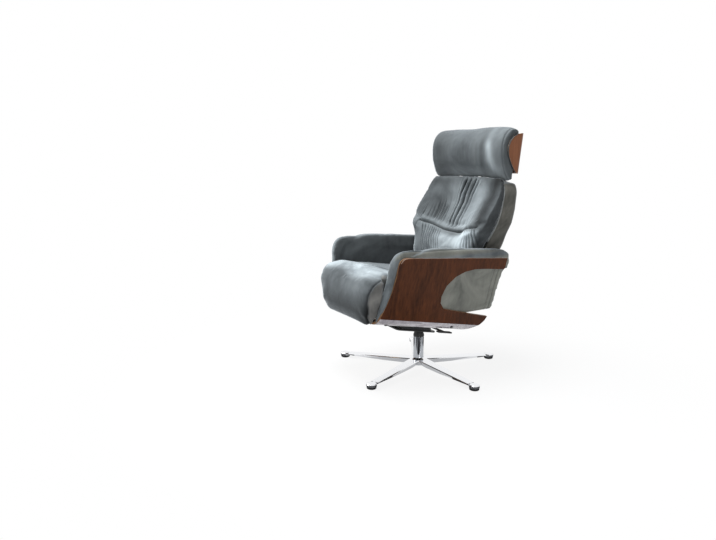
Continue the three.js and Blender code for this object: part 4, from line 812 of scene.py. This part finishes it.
# Back cushion
# Soft bolsters stand up each side. Three deep pleats run down the middle to a curved seam,
# with fine gathers beside them, and the lumbar panel below is gathered at both sides.
def fuller_back(places, normals):
    """The front of the cushion brought forward: bolsters at the sides, a roll at the top."""
    x = places[:, 0] - axis.x
    z = places[:, 2]
    forward = 1 - smooth_step(normals[:, 1], 0.1, 0.5)
    bolster = 0.030 * smooth_step(np.abs(x), 0.11, 0.19)
    bolster = bolster * smooth_step(z, 0.565, 0.615) * (1 - smooth_step(z, 0.68, 0.78))
    top = 0.012 * smooth_step(z, 0.70, 0.79)
    places[:, 1] -= forward * (bolster + top)
    return round_shoulders(places, 0.005)


back = cushion(
    "back_cushion_cover", "back_cushion", voxel=0.0052, rounds=5, reshape=fuller_back,
    cap=0.005, slack=0.03)
places, normals = points_of(back)
cushion_top = 0.8355
climb = smooth_step(places[:, 2], 0.78, places[:, 2].max())
places[:, 2] += climb * (cushion_top - places[:, 2].max())
x = places[:, 0] - axis.x
z = places[:, 2]
facing = smooth_step(-normals[:, 1], 0.3, 0.65)
seam_x = [-0.24, -0.18, -0.125, -0.07, -0.015, 0.034, 0.092, 0.128, 0.142, 0.19, 0.24]
seam_z = [0.646, 0.634, 0.625, 0.617, 0.609, 0.606, 0.605, 0.610, 0.625, 0.633, 0.640]
smile = np.interp(x, seam_x, seam_z)
inside = smooth_step(x, -0.192, -0.180) * smooth_step(0.232 - x, 0, 0.02)
seam = ridge(z - smile, 0.0042) * inside
above = smooth_step(z - smile, 0.004, 0.030) * smooth_step(0.838 - z, 0, 0.03)
below = smooth_step(smile - z, 0.004, 0.02)
push = np.zeros(len(places))
# Three deep pleats with a shallow one beside each outer one, and a soft roll after each.
pleat_x = np.interp(z, [0.62, 0.655, 0.689, 0.758, 0.824], [0.034, 0.028, 0.025, 0.030, 0.054])
for offset, width, depth in (
    (-0.050, 0.0038, 0.003), (-0.028, 0.0048, 0.010), (0.0, 0.0056, 0.013),
    (0.028, 0.0048, 0.010), (0.047, 0.0038, 0.004),
):
    line = pleat_x + offset * (1 - 0.9 * (0.72 - z))
    push -= depth * ridge(x - line, width) * above
    push += 0.5 * depth * ridge(x - line - 0.013, 0.0065) * above
# Fine gathers beside the pleats, on both sides.
for index in range(9):
    line = -0.052 - 0.0125 * index + 0.004 * np.sin(z * 24 + index * 1.7) - 0.10 * (z - 0.70)
    reach = 0.77 - 0.05 * ((index * 37 % 11) / 11)
    depth = 0.0062 * (0.55 + 0.45 * ((index * 53 % 7) / 7))
    span = above * smooth_step(reach - z, 0, 0.07) * (1 - 0.4 * smooth_step(z, 0.70, 0.76))
    push -= depth * ridge(x - line, 0.0036) * span
for index in range(4):
    line = 0.100 + 0.021 * index + 0.003 * np.sin(z * 30 + index)
    push -= 0.0016 * ridge(x - line, 0.005) * above * smooth_step(0.70 - z, 0, 0.06)
# Slanting gathers of the lumbar panel, and short ones at its other end.
for index in range(9):
    line = -0.022 - 0.0155 * index + 0.50 * (0.605 - z)
    depth = 0.0085 * (0.6 + 0.4 * ((index * 29 % 9) / 9))
    push -= depth * ridge(x - line, 0.0036) * below * smooth_step(z, 0.44, 0.50)
    push += 0.3 * depth * ridge(x - line - 0.006, 0.004) * below * smooth_step(z, 0.44, 0.50)
for index in range(6):
    line = 0.152 + 0.0135 * index + 0.10 * (0.615 - z)
    depth = 0.0085 * (0.6 + 0.4 * ((index * 31 % 7) / 7))
    push -= depth * ridge(x - line, 0.0036) * below * smooth_step(z, 0.47, 0.53)
# Small folds on the bolster, and the seam that sets it off.
for index in range(5):
    line = -0.190 - 0.010 * index - 0.12 * (0.66 - z)
    span = smooth_step(z, 0.54, 0.58) * (1 - smooth_step(z, 0.68, 0.74))
    push -= 0.0030 * ridge(x - line, 0.0034) * span
bolster_seam = ridge(x + 0.187 + 0.10 * (0.64 - z), 0.0036) * smooth_step(z, 0.50, 0.54)
bolster_seam = bolster_seam * (1 - smooth_step(z, 0.655, 0.70))
push -= 0.010 * seam + 0.006 * bolster_seam
push += 0.004 * ridge(z - smile - 0.014, 0.010) * inside
push += 0.0018 * np.sin(14 * x + 3 * np.sin(11 * z)) * np.sin(16 * z)
set_points(back, places + normals * (push * facing)[:, None])
# Painted shade: darker down in the grooves, at the sides, along the edge roll, over the far half
# above the seam and under the headrest. Painted light: lighter on the crests, in a band above the
# seam, on the lumbar panel and at its near end.
groove = np.clip(-push * facing / 0.009, 0, 1)
crest = np.clip(push * facing / 0.005, 0, 1)
sideways = smooth_step(np.abs(normals[:, 0]), 0.45, 0.8)
shade_under_head = smooth_step(z, 0.77, 0.82)
shaded_edge_roll = ridge(x - 0.212, 0.04) * smooth_step(z, 0.60, 0.66)
tint = (1 - 0.72 * groove) * (1 + 0.35 * crest) * (1 - 0.5 * sideways) * (1 - 0.35 * shade_under_head)
tint = tint * (1 - 0.85 * shaded_edge_roll) * (1 + 0.55 * ridge(x - 0.12, 0.045) * above)
lumbar = ridge(x - 0.055, 0.10) * smooth_step(smile - z, 0.01, 0.03)
tint = tint * (1 + 1.3 * lumbar) * (1 - 0.45 * smooth_step(-x, 0.04, 0.12) * above)
tint = tint * (1 + 2.5 * ridge(x - 0.180, 0.05) * below * (1 - sideways))
finish_soft(back, front_velvet, tint, "back", "back_cushion")

# Piping of the back
# A thin cord covered in velvet, sewn in along each side where the cover of the cushion
# meets the cover of the outer back; its velvet is painted paler than the cover's, a painted
# highlight.
# A paler copy of the velvet: a painted highlight along the cord.
piping_velvet_painted_light = velvet(
    "velvet_piping", deep=(0.17, 0.18, 0.18), pale=(0.30, 0.31, 0.31), sheen=1.0)
piping_radius, piping_inset = 0.0036, 0.003
shell_build = merged_build("back_shell")
shell_tree = BVHTree.FromBMesh(shell_build)
shell_build.free()
for hand, sign in (("left", 1), ("right", -1)):
    line = []
    for z in np.linspace(0.50, 0.826, 16):
        beside = Vector((axis.x + sign * 0.6, axis.y + 0.27, z))
        side = shell_tree.ray_cast(beside, Vector((-sign, 0, 0)))[0]
        edge_x = axis.x + sign * (abs(side.x - axis.x) - piping_inset)
        ahead = Vector((edge_x, axis.y - 0.3, z))
        lip = shell_tree.ray_cast(ahead, Vector((0, 1, 0)))[0]
        line.append([edge_x, lip.y - 0.001, z])
    line = [tuple(point) for point in round_shoulders(np.array(line))]
    piping = fitted_cord(
        f"back_piping_{hand}", line, piping_radius, piping_velvet_painted_light, "back")
    tone = piping.data.color_attributes.new("tone", "FLOAT_COLOR", "POINT")
    tone.data.foreach_set("color", [1.0] * (4 * len(piping.data.vertices)))

# Headrest posts
# Two chromed rods that slide in the guides, joined by the axle on which the pillow tilts,
# and the black clamps that hold it.
for cad in ("headrest_post_left", "headrest_post_right"):
    dress(cad, chrome, bevel=0.0004)
for cad in ("headrest_axle", "headrest_clamp_left", "headrest_clamp_right"):
    dress(cad, coats[slot_of[cad]])

# Headrest shell
# Thin bent ply in a lighter walnut. Its ends show as lens-shaped panels,
# and its cut edges as pale lines.
pale_walnut = timber(
    "pale_walnut", dark=(0.115, 0.038, 0.016), light=(0.235, 0.092, 0.042),
    edge=(0.62, 0.43, 0.30), across=90, along=5, coat=0.15)


def thin_edge(face):
    """1 on the sawn edges that face up, down or forward, and 0 on the veneer."""
    narrow = face.area < 0.0012 and abs(face.normal.x) < 0.6
    return 1.0 if narrow and face.normal.y < 0.3 else 0.0


dress("headrest_shell", pale_walnut, bevel=0.001, angle=30, mark=thin_edge)


# Headrest pillow
# A wide roll of foam under smooth velvet, fuller in the middle, its ends turned back
# in a round and seamed where they meet the ply.
def rounder_head(places, normals):
    """The pillow's ends turned back, its front foot tucked up, its rear foot let down."""
    x = np.abs(places[:, 0] - axis.x)
    y = places[:, 1] - axis.y
    z = places[:, 2]
    turn_start, pillow_end = 0.20, 0.2485
    turn = np.clip((x - turn_start) / (pillow_end - turn_start), 0, 1)
    turn = 1 - np.sqrt(1 - turn ** 2)
    ahead = 1 - smooth_step(y, 0.24, 0.29)
    places[:, 1] += 0.020 * turn * ahead
    tuck = smooth_step(0.885 - z, 0, 0.04) * (1 - smooth_step(y, 0.205, 0.25))
    places[:, 2] += 0.012 * tuck
    low = smooth_step(0.88 - z, 0, 0.03) * smooth_step(y, 0.235, 0.26)
    places[:, 2] -= 0.004 * low
    return places


head = cushion(
    "headrest_cushion_cover", "headrest_cushion", voxel=0.006, rounds=8, reshape=rounder_head,
    cap=0.004, slack=0.02)
places, normals = points_of(head)
x = places[:, 0] - axis.x
y = places[:, 1] - axis.y
pillow_foot, foot_round, head_round = 0.8375, 0.935, 0.965
drop = np.clip((0.90 - places[:, 2]) / (0.90 - places[:, 2].min()), 0, 1)
places[:, 2] -= drop * (places[:, 2].min() - pillow_foot)
# The front is rounded back at its foot and, less, at its head.
toward_front = np.clip((0.287 - y) / 0.07, 0, 1)
under = np.clip((foot_round - places[:, 2]) / (foot_round - pillow_foot), 0, 1)
places[:, 1] += 0.040 * (1 - np.sqrt(1 - under ** 2)) * toward_front
over = np.clip((places[:, 2] - head_round) / 0.080, 0, 1)
places[:, 1] += 0.018 * (1 - np.sqrt(1 - over ** 2)) * toward_front
# The foot hangs a little over the back, but leaves room for the sleeves and the posts.
y = places[:, 1] - axis.y
from_post = np.abs(np.abs(x) - 0.062)
sleeve = (1 - smooth_step(from_post, 0.013, 0.018)) * smooth_step(y, 0.253, 0.259)
rear_middle = (1 - smooth_step(np.abs(x), 0.12, 0.16)) * smooth_step(y, 0.258, 0.272)
droop = 0.012 + 0.008 * smooth_step(x, 0.10, 0.24) + 0.002 * smooth_step(-x, 0.10, 0.20)
droop = droop * (1 - sleeve) * smooth_step(y, 0.212, 0.240) * (1 - 0.5 * rear_middle)
places[:, 2] -= droop * smooth_step(0.90 - places[:, 2], 0, 0.05)
channel = (1 - smooth_step(from_post, 0.009, 0.017)) * smooth_step(y, 0.250, 0.275)
places[:, 1] -= 0.012 * channel * smooth_step(0.915 - places[:, 2], 0, 0.03)
z = places[:, 2]
beside = np.abs(x) - 0.2475
ends = smooth_step(np.abs(normals[:, 0]), 0.6, 0.9)
seam = ridge(beside + 0.010, 0.003) * (1 - ends)
ripple = np.sin(34 * x + 3 * np.sin(20 * z)) * ridge(np.abs(x) - 0.19, 0.05)
sag = np.sin(11 * x + 17 * z + 2 * np.sin(9 * x))
set_points(head, places + normals * (0.0010 * ripple + 0.0018 * sag - 0.003 * seam)[:, None])
# Painted light and shade: a painted highlight streak near the near end, a darker painted band
# beside it, the seam and the ends darkened as painted shade, the far half darkened, and the near
# end and the foot lightened.
highlight_streak = ridge(x - 0.184 + 0.12 * (z - 0.92), 0.019) * smooth_step(z, 0.84, 0.90)
highlight_streak = highlight_streak * (1 - 0.8 * smooth_step(z, 0.955, 1.0))
shaded_band = ridge(x - 0.135, 0.02) * 0.25
tint = 0.71 * (1 - 0.4 * seam) * (1 - 0.5 * ends) * (1 + 1.9 * highlight_streak) * (1 - shaded_band)
tint = tint * (1 - 0.48 * smooth_step(-x, 0.02, 0.15))
tint = tint * (1 + 0.25 * smooth_step(x, 0.195, 0.22))
tint = tint * (1 + 0.25 * smooth_step(0.90 - z, 0, 0.04))
finish_soft(head, front_velvet, tint, "headrest", "headrest_cushion")

# Headrest end cords
# A thin black cord lies in the joint between the pillow and the curved front edge of each ply end,
# and darkens it to a thin line.
joint_cord_x, joint_cord_radius = 0.2545, 0.0025
head_build = merged_build("headrest_shell")
head_tree = BVHTree.FromBMesh(head_build)
head_build.free()
for hand, sign in (("left", 1), ("right", -1)):
    line = []
    for z in np.linspace(0.855, 1.010, 15):
        ahead = Vector((axis.x + sign * joint_cord_x, axis.y - 0.3, z))
        edge = head_tree.ray_cast(ahead, Vector((0, 1, 0)))[0]
        line.append((ahead.x, edge.y - 0.0016, z))
    fitted_cord(
        f"headrest_joint_cord_{hand}", line, joint_cord_radius, black_plastic, "headrest")
